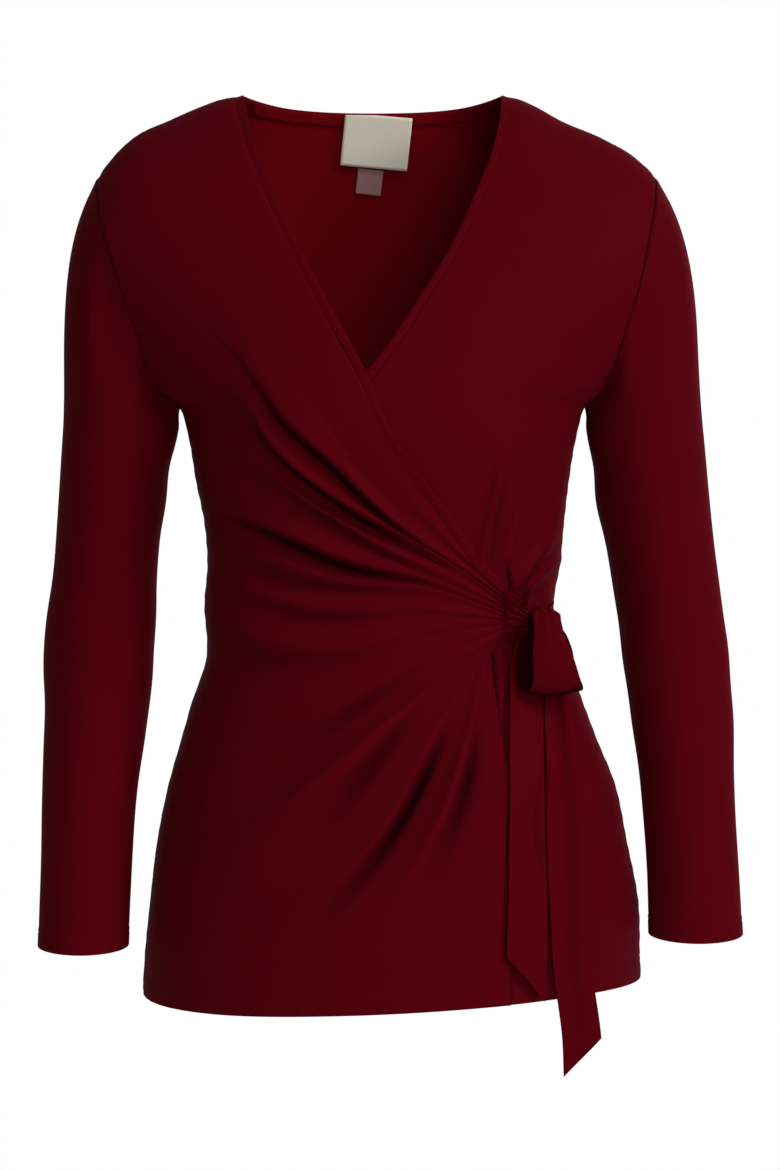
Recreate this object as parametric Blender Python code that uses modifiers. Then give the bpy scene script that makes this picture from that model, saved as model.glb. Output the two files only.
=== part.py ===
"""Wrap top in jersey. The right front laps over the left front and is gathered at the wearer's
left waist into a tie, with one loop and two hanging ends. The cloth keeps its worn, hollow form.

The origin is midway between the two points where the shoulder seams meet the neckline. The
front faces -Y, the wearer's right side is at -X, and +Z is up. Sizes here are millimetres, and
"drop" is the distance below the origin. Each piece is an open grid laid on a shared form of the
body and given its wall by Solidify.
"""

import math

import bpy
import numpy as np

MM = 0.001

# Cloth, mm
WALL = 1.3
SEAM_GAP = 0.3
RIDGE_GAP = 0.3  # the shoulder seams stand this much further open, each way
LAP = 2.8  # outer face of the under front to outer face of the top front
BAND = 6.0  # finished width of the stitched neckline edges
FRONT, BACK = -1, 1
RIGHT, LEFT = -1, 1  # the wearer's sides


def table(names, *rows):
    """A table's columns by name."""
    return dict(zip(names.split(), np.array(rows, float).T))


# The body: outline at its right and left sides, and how deep the section is before and behind
BODY = table(
    "drop right left front back",
    (-20, -248, 250, 36, 50),
    (0, -246, 249, 44, 56),
    (30, -241, 245, 54, 67),
    (60, -232, 237, 64, 79),
    (100, -212, 217, 79, 91),
    (138, -193, 201, 93, 99),
    (165, -175, 184, 102, 102),
    (190, -155, 164, 108, 103),
    (217, -137, 146, 113, 102),
    (240, -130.5, 139.5, 114, 99),
    (270, -125.5, 134.5, 110, 93),
    (300, -119.5, 131, 103, 86),
    (330, -117.5, 128, 98, 81),
    (354, -119.5, 124, 97, 80),
    (396, -118.5, 129, 101, 85),
    (424, -128, 143.5, 104, 90),
    (452, -136, 154.5, 107, 95),
    (480, -144, 166, 110, 100),
    (522, -152.5, 175, 113, 106),
    (564, -157.5, 183, 115, 110),
    (606, -161.5, 184, 116, 112),
    (660, -163, 185, 117, 113),
)
FULLNESS = 0.9  # below 1 the section is squarer than an ellipse
CROWN_DROP = 56  # how far below the shoulder line the section is fully open
BUST = table("x drop width height proud", (-60, 236, 40, 46, 6), (68, 236, 40, 46, 6))

# The shoulder line, seen from the front; between the neck points it only guides the crown
SHOULDER = table(
    "x drop",
    (-212, 92),
    (-194, 58),
    (-185.5, 45.5),
    (-171.5, 31.5),
    (-143.5, 17.5),
    (-124, 9),
    (-109, 3.5),
    (-93, 0),
    (-60, -32),
    (0, -52),
    (57, -32),
    (88, 0),
    (101, 3.5),
    (113, 9),
    (128, 17.5),
    (160, 31.5),
    (183, 45.5),
    (195, 58),
    (213, 92),
)

# The armhole seam
ARMHOLE = table(
    "drop right left",
    (58, -194, 195),
    (80, -191.5, 193),
    (100, -187.5, 189.5),
    (140, -175, 181),
    (175, -164, 170),
    (198, -157, 162),
    (211, -148, 155),
    (217, -137, 146),
)
ARMHOLE_TOP, UNDERARM = 58, 217
ARMHOLE_DEPTH = {FRONT: 46, BACK: 52}
ARMHOLE_BACK_SHIFT = 5  # the seam lies this much further out at the back

HEM = table(
    "across front back",
    (-1, 626.5, 626.5),
    (-0.8, 631, 628.5),
    (-0.45, 635, 630),
    (-0.1, 633, 630.5),
    (0.3, 627, 628.5),
    (0.6, 621.5, 624),
    (0.85, 618, 619),
    (1, 616, 616),
)

# The finished neckline edges, from the neck point down; the left one goes on under the top front
NECKLINE = {
    RIGHT: table(
        "x drop",
        (-93, 0),
        (-90, 13),
        (-76, 58),
        (-59, 97),
        (-28, 159),
        (-6, 200),
        (9, 236),
        (35, 274),
        (54, 300),
        (71, 325.5),
        (90, 344),
    ),
    LEFT: table(
        "x drop",
        (88, 0),
        (86, 20),
        (80, 44),
        (67, 77),
        (50, 114),
        (31, 145),
        (13, 173),
        (-6, 199),
        (-24, 224),
        (-45, 254),
        (-70, 288),
        (-95, 320),
        (-112, 346),
    ),
}
BACK_NECK = table("x drop", (-93, 0), (-62, 4), (0, 6.5), (58, 4), (88, 0))

# The gathered edge of the top front, where its folds meet
GATHER_TOP = (86.8, 349)
GATHER_END = (86, 378)

# The top front's folds, from its neckline round to its free front edge. Each is a line on the
# cloth: "gather" is its place along the gathered edge, "edge" where it meets the far edge
# (0-1 shoulder seam, 1-2 armhole, 2-3 side seam, 3-4 hem), "proud" its height in mm, "fades" how
# far along it dies out, and "steps" the grid steps to the next line. Points are (x, drop).
FOLDS = (
    # name, gather, edge, proud, fades, steps, points
    ("neckline", 0.00, 0.00, 0.0, 1.0, 3, ()),
    ("chest", 0.04, 0.50, 0.5, 0.6, 2, ((61, 325), (1, 255), (-40, 196), (-76, 124))),
    ("shoulder", 0.08, 1.00, 1.0, 0.6, 2, ((52, 321), (-20, 252), (-67, 182), (-129, 104))),
    ("first_crest", 0.13, 1.42, 7.0, 0.9, 1, ((13, 298), (-21, 264), (-62, 225), (-96, 182))),
    ("first_trough", 0.17, 1.47, 1.5, 0.9, 2, ((8, 300), (-33, 264), (-72, 225), (-103, 179))),
    ("second_crest", 0.22, 1.61, 8.0, 0.9, 1, ((9, 302), (-17, 286), (-68, 245), (-96, 209))),
    ("second_trough", 0.27, 1.75, 0.5, 0.9, 2, ((27, 319), (-5, 296), (-54, 264), (-98, 226))),
    ("underarm", 0.32, 2.00, 5.0, 0.8, 2, ((44, 329), (9, 313), (-31, 288), (-98, 240))),
    ("third_trough", 0.37, 2.10, 1.5, 0.8, 2, ((9, 321), (-33, 294), (-79, 266), (-110, 251))),
    ("fourth_crest", 0.42, 2.16, 6.0, 0.97, 1, ((36, 338), (-8, 327), (-70, 301), (-104, 288))),
    ("fourth_trough", 0.46, 2.18, 0.5, 0.97, 2, ((11, 339), (-17, 333), (-73, 310), (-102, 296))),
    ("fifth_crest", 0.51, 2.21, 4.0, 0.9, 1, ((37, 345), (-30, 338), (-70, 323), (-104, 309))),
    ("fifth_trough", 0.56, 2.24, 1.5, 0.9, 2, ((37, 353), (-30, 348), (-79, 338), (-102, 326))),
    ("sixth_crest", 0.60, 2.27, 3.5, 0.85, 1, ((30, 358), (-40, 357), (-75, 349), (-102, 336))),
    ("sixth_trough", 0.64, 2.31, 1.5, 0.85, 2, ((30, 365), (-24, 370), (-73, 361), (-103, 348))),
    ("seventh_crest", 0.68, 2.36, 4.0, 0.95, 2, ((30, 372), (-30, 385), (-74, 380), (-105, 366))),
    ("seventh_trough", 0.73, 2.41, 1.5, 0.95, 3, ((44, 382), (-11, 400), (-74, 400), (-105, 387))),
    ("waist", 0.78, 2.56, 4.0, 0.6, 2, ((50, 392), (3, 421), (-51, 440), (-100, 450))),
    ("long_trough", 0.84, 2.70, 1.0, 0.7, 2, ((54, 396), (-5, 440), (-62, 469), (-104, 488))),
    ("long_crest", 0.90, 2.81, 9.0, 0.75, 2, ((54, 404), (15, 434), (-38, 473), (-110, 525))),
    ("hem_corner", 0.93, 3.00, 3.0, 0.6, 4, ((60, 404), (37, 431), (-37, 515), (-92, 571))),
    ("skirt_crest", 0.95, 3.40, 5.5, 0.85, 2, ((64, 404), (43, 446), (-8, 523), (-58, 574))),
    ("skirt_trough", 0.965, 3.49, 1.0, 0.85, 2, ((68, 408), (49, 454), (4, 531), (-40, 585))),
    ("low_crest", 0.98, 3.60, 5.0, 0.85, 2, ((74, 412), (57, 466), (21, 533), (-22, 592))),
    ("low_trough", 0.99, 3.76, 1.0, 0.8, 3, ((80, 416), (72, 466), (50, 540), (28, 592))),
    ("front_edge", 1.00, 4.00, 1.5, 0.8, 0, ((88, 421), (91, 489), (95, 557), (98, 592))),
)
GATHER_FLAT = 0.22  # share of each line, from the gathers, over which its height builds up
FAR_FADE = 0.35  # share of each line over which its height dies out
ACROSS_SCALE = np.array([150, 1])  # mm per unit across, so that both columns count alike

# Folds that are drawn up from the tie in the under front, and soft ones in the back. Each runs
# from one point to another, (x, drop).
PULLS = table(
    "x0 drop0 x1 drop1 proud width",
    (76, 308, 86, 250, 3.5, 6),
    (98, 336, 124, 300, 3.5, 6),
    (92, 318, 104, 262, 2.5, 6),
    (104, 420, 118, 560, 3, 10),
    (140, 470, 160, 590, 3, 10),
)
BACK_FOLDS = table(
    "x0 drop0 x1 drop1 proud width",
    (-96, 318, -20, 352, 4, 9),
    (104, 312, 24, 350, 4, 9),
    (-98, 372, -30, 388, 3.5, 9),
    (108, 368, 34, 386, 3.5, 9),
    (-60, 470, -84, 610, 5, 16),
    (10, 450, 6, 612, 4, 18),
    (74, 470, 98, 604, 5, 16),
)

# Sleeves, from the biceps down: middle and half width at each side, forward set, half depth
CAP_STRAIGHT = 0.006  # share of the armhole over which its front and back meet in one tangent
SLEEVE = table(
    "drop right right_half left left_half forward half_depth",
    (235, -179.5, 40.0, 188.5, 40.5, -4, 46),
    (283, -184.8, 37.4, 194.6, 39.6, -6, 43),
    (340, -190.6, 36.8, 203.0, 37.5, -8, 41),
    (382, -194.0, 39.0, 209.0, 37.4, -8, 40),
    (424, -195.5, 37.0, 213.0, 36.4, -3, 39),
    (480, -199.2, 33.4, 217.4, 32.8, 7, 36),
    (536, -201.2, 31.8, 220.2, 32.0, 19, 34),
    (596, -202.8, 31.2, 222.0, 32.6, 31, 33),
)
CUFF_DROP = {RIGHT: 592, LEFT: 584}
CUFF_TILT = 5  # the cuff's front edge is this much lower than its back edge, each way

# The tie. Rows run along each strip: its middle, its width, and how deep it is folded lengthwise.
# "out" is the least distance in front of the origin, because a strip is pushed out to clear the
# cloth, and "tilt" is how much lower the strip's left edge lies than its right one.
TIE_CLEARANCE = 2.2
TIE_TIP = table(
    "x out drop width fold",
    (88.0, 76.5, 361.5, 33, 0.0),
    (94, 78.5, 360, 27, 1.4),
    (99, 78, 358, 20, 1.6),
    (103.6, 73.2, 357, 15, 1.2),
)
# The tie from the side seam lies on the under front: its rows are places on it, not x and y
TIE_SIDE = table(
    "across drop proud width fold forward",
    (0.965, 354, 1.8, 24, 0.0, 0),
    (0.88, 355, 2.4, 21, 0.9, 0),
    (0.80, 356, 3.5, 17, 1.1, 2),
    (0.75, 357, 4.5, 14, 1.1, 8),
    (0.735, 357, 5.0, 12, 1.0, 17),
)
KNOT = {"x": 111, "out": 71, "drop": 357, "half": (6.8, 9.0, 9.5), "pleats": 7, "pleat": 0.06}
LOOP = table(
    "x out drop width tilt",
    (116.3, 81.7, 359, 12, 0),
    (117.2, 89, 366, 17, 0),
    (119, 94, 380, 22, 1),
    (121.2, 95.5, 398, 29, -3),
    (122.3, 93.8, 410.5, 32, -5),
    (122, 89, 417, 37, -3),
    (119.5, 84.5, 418, 42, 1),
    (117.5, 81.8, 411, 42, 3),
    (116.5, 80.8, 398, 39, 2),
    (116.8, 80.3, 384, 31, 0),
    (118, 79.5, 372, 16, 0),
)
SHORT_TAIL = table(
    "drop left right out fold",
    (366.6, 101.5, 112.2, 68.5, 1.1),
    (392, 93.5, 113.5, 69, 1.6),
    (430, 91.5, 114.2, 76, 1.4),
    (500, 90.5, 114.8, 96, 1.2),
    (560, 89.5, 116.2, 98, 1.2),
    (600, 88.2, 116, 99, 1.2),
    (625, 88, 114.5, 100, 1.0),
)
LONG_TAIL = table(
    "drop left right out fold",
    (366.6, 113.2, 119.5, 68.5, 1.1),
    (392, 114.8, 128, 64, 2.0),
    (430, 115.6, 134.5, 72, 2.0),
    (464, 116, 137.8, 84, 1.8),
    (529, 116.6, 140.5, 92, 1.4),
    (562, 118.3, 142.8, 94, 1.4),
    (595, 120, 145, 95, 1.2),
    (615, 122, 148.2, 96, 1.0),
    (650, 126.4, 153, 98, 0.8),
    (676, 127.4, 154, 99, 0.6),
)
TAIL_CUT = {"short": (594, 625), "long": (676, 650)}  # drop of each end's two corners
HIP = 612  # below this drop a tail hangs free of the cloth behind it

# Labels, inside the back neck
TAPE = 8.0
TAPE_INSET = 16  # the tape's ends stop this short of the neck points
TAPE_INSIDE = WALL + 1.3  # outer face of the back to outer face of the tape
LABEL = {"x": (-24, 24), "drop": (7, 43), "lean": 4, "inside": WALL + 3.2}
CARE_LABEL = {"x": (-14, 4), "drop": (44.5, 62), "lean": 2, "inside": WALL + 1.2}
LABEL_WALL = 0.8

BURGUNDY = (0.045, 0.003, 0.008)
WOVEN_LABEL = (0.36, 0.30, 0.26)
PRINTED_LABEL = (0.13, 0.07, 0.07)


# ---- Grids ----


def stops(*runs):
    """Grid stations from (from, to, steps) runs that follow each other."""
    parts = [np.linspace(a, b, n + 1)[:-1] for a, b, n in runs]
    return np.concatenate(parts + [[runs[-1][1]]])


SHORT_ROW = 0.003  # share of a panel in its first row, which keeps the seam's wall upright
ARM_SHARE = 0.3  # share of a panel's side edge that is armhole
UNDER_WAIST = 0.5  # share of the under front's height at which its neckline meets the side seam
UNDER_ROWS = stops(
    (0, SHORT_ROW, 1),
    (SHORT_ROW, 0.1, 4),
    (0.1, ARM_SHARE, 6),
    (ARM_SHARE, UNDER_WAIST, 7),
    (UNDER_WAIST, 0.62, 4),
    (0.62, 1, 7),
)
HIDDEN_INSET = 0.012  # the under front's hidden side edge stops this short of the side seam
HIDDEN_SINK = 2.0  # its hidden part lies this much deeper, clear of the folds over it
LAPPED_EDGE = ((200, -6), (236, 9), (300, 54), (343, 84), (421, 88), (592, 98))  # (drop, x)
BACK_ROWS = stops((0, SHORT_ROW, 1), (SHORT_ROW, 0.08, 4), (0.08, ARM_SHARE, 6), (ARM_SHARE, 1, 13))
BACK_NECK_SHARE = (0.24, 0.76)  # the neckline's part of the back's upper edge
TOP_ROWS = np.append((1 - SHORT_ROW) * stops((0, 0.3, 9), (0.3, 1, 13)), 1)


# ---- Smooth curves through tables ----


def smooth(t):
    """0 to 1 with a soft start and end."""
    t = np.clip(t, 0, 1)
    return t * t * (3 - 2 * t)


def through(at, stations, values):
    """A smooth curve through the values at rising stations."""
    stations, values = np.asarray(stations, float), np.asarray(values, float)
    slopes = np.gradient(values, stations)
    i = np.clip(np.searchsorted(stations, at) - 1, 0, len(stations) - 2)
    span = stations[i + 1] - stations[i]
    t = np.clip((at - stations[i]) / span, 0, 1)
    rise = t * t * (3 - 2 * t)
    bend = span * t * (1 - t) * ((1 - t) * slopes[i] - t * slopes[i + 1])
    return values[i] * (1 - rise) + values[i + 1] * rise + bend


def along(t, points):
    """The point a share t of the way along a smooth line through the given points."""
    points = np.asarray(points, float)
    reach = np.concatenate([[0], np.cumsum(np.linalg.norm(np.diff(points, axis=0), axis=1))])
    return np.stack([through(t * reach[-1], reach, c) for c in points.T], axis=-1)


# ---- The form of the worn body ----


def section(drop):
    """Middle and half width of the body."""
    right = through(drop, BODY["drop"], BODY["right"])
    left = through(drop, BODY["drop"], BODY["left"])
    return (left + right) / 2, (left - right) / 2


def depth(drop, side):
    return through(drop, BODY["drop"], BODY["front" if side == FRONT else "back"])


def crown(x, drop):
    """Opening of the section below the shoulder line: 0 on the line, 1 well below it."""
    fall = (drop - through(x, SHOULDER["x"], SHOULDER["drop"])) / CROWN_DROP
    fall = np.clip(fall, 0, 1)
    return np.sqrt(fall * (2 - fall))


def armhole(drop, hand, side):
    """The armhole seam: x and distance from the side plane."""
    middle_drop, half = (ARMHOLE_TOP + UNDERARM) / 2, (UNDERARM - ARMHOLE_TOP) / 2
    swing = np.sqrt(np.clip(1 - ((drop - middle_drop) / half) ** 2, 0, 1))
    x = through(drop, ARMHOLE["drop"], ARMHOLE["right" if hand == RIGHT else "left"])
    x = x + (hand * ARMHOLE_BACK_SHIFT * swing**2 if side == BACK else 0)
    return x, ARMHOLE_DEPTH[side] * swing


def armhole_angle(drop, hand, side):
    """The angle round the section at which the armhole seam lies."""
    x, out = armhole(drop, hand, side)
    share = out / (depth(drop, side) * np.maximum(crown(x, drop), 0.005))
    return np.arccos(np.clip(share, 0, 0.98) ** (1 / FULLNESS))


def flare(drop, hand, side):
    """Extra width at the edge, so that the form passes through the armhole seam."""
    drop = np.clip(drop, ARMHOLE_TOP + 0.05, UNDERARM)
    middle, half = section(drop)
    edge = np.sin(armhole_angle(drop, hand, side))
    return (armhole(drop, hand, side)[0] - middle - hand * half * edge) / edge**5


def form(across, drop, side):
    """A point of the body: across runs from -1 at the right side seam to 1 at the left."""
    across, drop = np.broadcast_arrays(np.asarray(across, float), np.asarray(drop, float))
    angle = across * math.pi / 2
    middle, half = section(drop)
    extra = np.where(across < 0, flare(drop, RIGHT, side), flare(drop, LEFT, side))
    x = middle + half * np.sin(angle) + extra * np.abs(np.sin(angle)) ** 5
    out = depth(drop, side) * np.maximum(np.cos(angle), 0) ** FULLNESS * crown(x, drop)
    if side == FRONT:
        for bx, bd, width, height, proud in zip(*BUST.values()):
            out = out + proud * np.exp(-(((x - bx) / width) ** 2) - ((drop - bd) / height) ** 2)
    clear = SEAM_GAP / 2 + RIDGE_GAP * (1 - crown(x, drop)) ** 2
    return np.stack([x, side * (out + clear), -drop], axis=-1)


def across_at(x, drop, side):
    """Where a given x lies across the form."""
    x, drop = np.broadcast_arrays(np.asarray(x, float), np.asarray(drop, float))
    low, high = np.full(x.shape, -1.0), np.full(x.shape, 1.0)
    for _ in range(26):
        middle = (low + high) / 2
        beyond = form(middle, drop, side)[..., 0] > x
        low, high = np.where(beyond, low, middle), np.where(beyond, middle, high)
    return (low + high) / 2


def cloth(across, drop, side, proud=0.0):
    """Points of a layer of cloth that stands proud of the form, square to it."""
    point = form(across, drop, side)
    a = np.clip(across, -0.992, 0.992)
    d = np.maximum(drop, through(point[..., 0], SHOULDER["x"], SHOULDER["drop"]) + 1.5)
    wide = form(a + 0.004, d, side) - form(a - 0.004, d, side)
    down = form(a, d + 0.8, side) - form(a, d - 0.8, side)
    out = side * np.cross(wide, down)
    out /= np.linalg.norm(out, axis=-1, keepdims=True)
    return point + out * np.asarray(proud)[..., None]


def front_layer(across, drop, lift, under=False):
    """Points of a front. The top one rises over the form towards its free edges, the under one
    lies LAP below it, and both come down to the form at the shoulder seams."""
    x = form(across, drop, FRONT)[..., 0]
    proud = LAP * (across + 1) / 2 - (LAP if under else 0) + lift
    return cloth(across, drop, FRONT, proud * crown(x, drop))


def folds_at(x, drop, lines):
    """Height of the soft ridges of a table of straight fold lines."""
    height = np.zeros(np.shape(x))
    for x0, drop0, x1, drop1, proud, width in zip(*lines.values()):
        run = np.array([x1 - x0, drop1 - drop0])
        length = np.hypot(*run)
        share = ((x - x0) * run[0] + (drop - drop0) * run[1]) / length**2
        off = ((x - x0) * run[1] - (drop - drop0) * run[0]) / length
        fade = smooth(share / 0.25) * smooth((1 - share) / 0.4)
        height = height + proud * np.exp(-((off / width) ** 2)) * fade
    return height


# ---- Seams, as points (across, drop) on the form ----


def arm_stops(hand, side):
    """Where the body's grid lines meet an armhole, so that the sleeve's meet it there too."""
    if (hand, side) == (RIGHT, FRONT):
        edges = stops(*[(a[2], b[2], a[5]) for a, b in zip(FOLDS, FOLDS[1:])])
        return edges[(edges >= 1) & (edges <= 2)] - 1
    rows = UNDER_ROWS if side == FRONT else BACK_ROWS
    return rows[rows <= ARM_SHARE] / ARM_SHARE


def seam_armhole(t, hand, side):
    """From the shoulder point, t = 0, to the underarm, t = 1."""
    middle_drop, half = (ARMHOLE_TOP + UNDERARM) / 2, (UNDERARM - ARMHOLE_TOP) / 2
    drop = middle_drop - half * np.cos(np.pi * t)
    used = np.clip(drop, ARMHOLE_TOP + 0.05, UNDERARM)
    return np.stack([hand * armhole_angle(used, hand, side) * 2 / math.pi, drop], axis=-1)


def seam_shoulder(t, hand, side, from_x):
    """From the neckline, t = 0, to the shoulder point, t = 1."""
    t = np.append(t, 1.0)
    x = from_x + (armhole(ARMHOLE_TOP, hand, side)[0] - from_x) * t
    drop = through(x, SHOULDER["x"], SHOULDER["drop"])
    point = np.stack([across_at(x, drop, side), drop], axis=-1)
    end = seam_armhole(np.zeros(1), hand, side)
    return (point + (end - point[-1:]) * t[:, None] ** 4)[:-1]


def hem(across, side):
    return through(across, HEM["across"], HEM["front" if side == FRONT else "back"])


def neckline(t, hand, inset):
    """The front neckline, t = 0 at the neck point, moved in from the edge by inset."""
    points = np.stack([NECKLINE[hand]["x"], NECKLINE[hand]["drop"]], axis=-1)
    here = along(t, points)
    ahead = along(np.minimum(t + 0.004, 1), points) - along(np.maximum(t - 0.004, 0), points)
    square = np.stack([-ahead[..., 1], ahead[..., 0]], axis=-1) * -hand
    square /= np.linalg.norm(square, axis=-1, keepdims=True)
    here = here + square * np.asarray(inset)[..., None]
    lowest = through(here[..., 0], SHOULDER["x"], SHOULDER["drop"])
    drop = np.maximum(here[..., 1], lowest)
    return np.stack([across_at(here[..., 0], drop, FRONT), drop], axis=-1)


def patch(s, t, west, east, north, south):
    """A point inside four edges. s runs west to east and t north to south. The upper edge's bend
    has died out at the underarm, where the lower edge's begins, so that no grid line crosses the
    armhole."""
    zero, one = np.zeros(1), np.ones(1)
    s1 = s[:, None]
    upper = north(s) - (1 - s1) * north(zero) - s1 * north(one)
    lower = south(s) - (1 - s1) * south(zero) - s1 * south(one)
    high = 1 - smooth(t / ARM_SHARE)
    low = smooth((t - ARM_SHARE) / (1 - ARM_SHARE))
    level = (1 - s1) * west(t) + s1 * east(t)
    return level + upper * high[:, None] + lower * low[:, None]


def side_edge(t, hand, side, turn, inset=0.0):
    """A panel's outer edge: the armhole down to t = turn, then the side seam to the hem."""
    arm = seam_armhole(np.clip(t / turn, 0, 1), hand, side)
    seam_across = hand * (1 - inset)
    low = np.clip((t - turn) / (1 - turn), 0, 1)
    drop = UNDERARM + (hem(np.full(np.shape(t), seam_across), side) - UNDERARM) * low
    seam = np.stack([np.full(np.shape(t), seam_across), drop], axis=-1)
    return np.where((t < turn)[..., None], arm, seam)


# ---- Blender objects ----


def material(name, colour, roughness):
    made = bpy.data.materials.new(name)
    made.use_nodes = True
    shader = made.node_tree.nodes["Principled BSDF"]
    shader.inputs["Base Color"].default_value = (*colour, 1)
    shader.inputs["Roughness"].default_value = roughness
    shader.inputs["Metallic"].default_value = 0
    return made


def finish(piece, name, colour, wall, offset=-1):
    """Names a piece, files it with the garment and gives its sheet a wall."""
    piece.name = piece.data.name = name
    for collection in list(piece.users_collection):
        collection.objects.unlink(piece)
    GARMENT.objects.link(piece)
    piece.data.materials.clear()
    piece.data.materials.append(material(name, colour, 0.55))
    if wall:
        solid = piece.modifiers.new("wall", "SOLIDIFY")
        solid.thickness = wall * MM
        solid.offset = offset
        solid.use_even_offset = True
    piece.data.shade_smooth()
    return piece


def sheet(name, us, vs, place, outwards, colour=BURGUNDY, wall=WALL, closed=False):
    """A grid of cloth. place(u, v) gives a point in mm, and its wall goes away from outwards."""
    bpy.ops.mesh.primitive_grid_add(
        x_subdivisions=len(us) - 1, y_subdivisions=len(vs) - 1, size=2
    )
    piece = bpy.context.object
    mesh = piece.data
    flat = np.empty(len(mesh.vertices) * 3)
    mesh.vertices.foreach_get("co", flat)
    flat = flat.reshape(-1, 3)
    column = np.rint((flat[:, 0] + 1) / 2 * (len(us) - 1)).astype(int)
    row = np.rint((flat[:, 1] + 1) / 2 * (len(vs) - 1)).astype(int)
    points = place(np.asarray(us)[column], np.asarray(vs)[row])
    mesh.vertices.foreach_set("co", (points * MM).ravel())
    mesh.update()
    middle = mesh.polygons[len(mesh.polygons) // 2]
    if middle.normal.dot(outwards(middle.center)) < 0:
        mesh.flip_normals()
    if closed:
        weld = piece.modifiers.new("underarm seam", "WELD")
        weld.merge_threshold = 0.00005
    return finish(piece, name, colour, wall)


def from_middle(point):
    """Outwards on the body is away from its upright axis."""
    return (point.x, point.y, 0)


# ---- Top front ----


def top_edge(w):
    """The far edge of the top front, by the fold table's edge number."""
    neck_x = float(form(*neckline(np.zeros(1), RIGHT, BAND + SEAM_GAP)[0], FRONT)[0])
    shoulder = seam_shoulder(np.clip(w, 0, 1), RIGHT, FRONT, neck_x)
    arm = seam_armhole(np.clip(w - 1, 0, 1), RIGHT, FRONT)
    side = np.stack([np.full(len(w), -1.0), UNDERARM + (hem(-1, FRONT) - UNDERARM) * (w - 2)], -1)
    front_x, front_drop = FOLDS[-1][-1][-1]
    end = across_at(front_x + 1, front_drop, FRONT)
    low_across = -1 + (end + 1) * np.clip(w - 3, 0, 1)
    low = np.stack([low_across, hem(low_across, FRONT)], axis=-1)
    pick = np.clip(np.ceil(w) - 1, 0, 3).astype(int)[:, None]
    return np.select([pick == 0, pick == 1, pick == 2, pick == 3], [shoulder, arm, side, low])


def fold_line(index, v):
    """Points (across, drop) of one fold line, from the gathers, v = 0, to the far edge, v = 1."""
    name, gather, edge, _, _, _, points = FOLDS[index]
    if name == "neckline":
        return neckline(1 - v, RIGHT, BAND + SEAM_GAP)
    start = [a + (b - a) * gather for a, b in zip(GATHER_TOP, GATHER_END)]
    xs, drops = np.array([start, *points], float).T
    inner = np.stack([across_at(xs, drops, FRONT), drops], axis=-1)
    line = np.concatenate([inner, top_edge(np.array([edge]))]) * ACROSS_SCALE
    return along(v, line) / ACROSS_SCALE


def top_front(u, v):
    """The top front. u counts fold lines, v runs out from the gathers."""
    rows = np.array([fold_line(i, v) for i in range(len(FOLDS))])
    i = np.clip(np.floor(u).astype(int), 0, len(FOLDS) - 2)
    share = u - i
    here = np.arange(len(u))
    place = rows[i, here] * (1 - share)[:, None] + rows[i + 1, here] * share[:, None]
    edges = np.array([fold[2] for fold in FOLDS])
    far = top_edge(edges[i] * (1 - share) + edges[i + 1] * share)
    ends = np.array([fold_line(i, np.ones(1))[0] for i in range(len(FOLDS))])
    place += (far - ends[i] * (1 - share)[:, None] - ends[i + 1] * share[:, None]) * v[:, None] ** 3
    proud = np.array([fold[3] for fold in FOLDS])
    fades = np.array([fold[4] for fold in FOLDS])
    height = proud[:, None] * smooth((fades[:, None] - v) / FAR_FADE) * smooth(v / GATHER_FLAT)
    turn = smooth(share)
    lift = height[i, here] * (1 - turn) + height[i + 1, here] * turn
    return front_layer(place[:, 0], place[:, 1], lift)


def build_top_front():
    runs = [(i, i + 1, fold[5]) for i, fold in enumerate(FOLDS[:-1])]
    sheet("front_right", stops(*runs), TOP_ROWS, top_front, from_middle)


# ---- Under front ----


def under_west(t):
    neck = neckline(np.clip(t / UNDER_WAIST, 0, 1), LEFT, BAND + SEAM_GAP)
    top = neckline(np.ones(1), LEFT, BAND + SEAM_GAP)[0]
    low = np.clip((t - UNDER_WAIST) / (1 - UNDER_WAIST), 0, 1)
    seam = -1 + HIDDEN_INSET
    across = top[0] + (seam - top[0]) * smooth(low / 0.12)
    drop = top[1] + (hem(np.full(np.shape(t), seam), FRONT) - top[1]) * low
    return np.where((t < UNDER_WAIST)[..., None], neck, np.stack([across, drop], axis=-1))


def under_front(u, v):
    """The under front. u runs from its neckline to its armhole, v down to the hem."""
    neck_x = float(form(*neckline(np.zeros(1), LEFT, BAND + SEAM_GAP)[0], FRONT)[0])

    def hem_line(s):
        across = -1 + HIDDEN_INSET + (2 - HIDDEN_INSET) * s
        return np.stack([across, hem(across, FRONT)], axis=-1)

    place = patch(
        u,
        v,
        under_west,
        lambda t: side_edge(t, LEFT, FRONT, ARM_SHARE),
        lambda s: seam_shoulder(s, LEFT, FRONT, neck_x),
        hem_line,
    )
    across, drop = place[..., 0], place[..., 1]
    x = form(across, drop, FRONT)[..., 0]
    behind = through(drop, *np.array(LAPPED_EDGE, float).T) - x
    lift = folds_at(x, drop, PULLS) - HIDDEN_SINK * smooth((behind - 2) / 20)
    return front_layer(across, drop, lift, under=True)


def build_under_front():
    across = stops((0, 0.5, 8), (0.5, 0.97, 11), (0.97, 1, 1))
    sheet("front_left", across, UNDER_ROWS, under_front, from_middle)


# ---- Back ----


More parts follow.
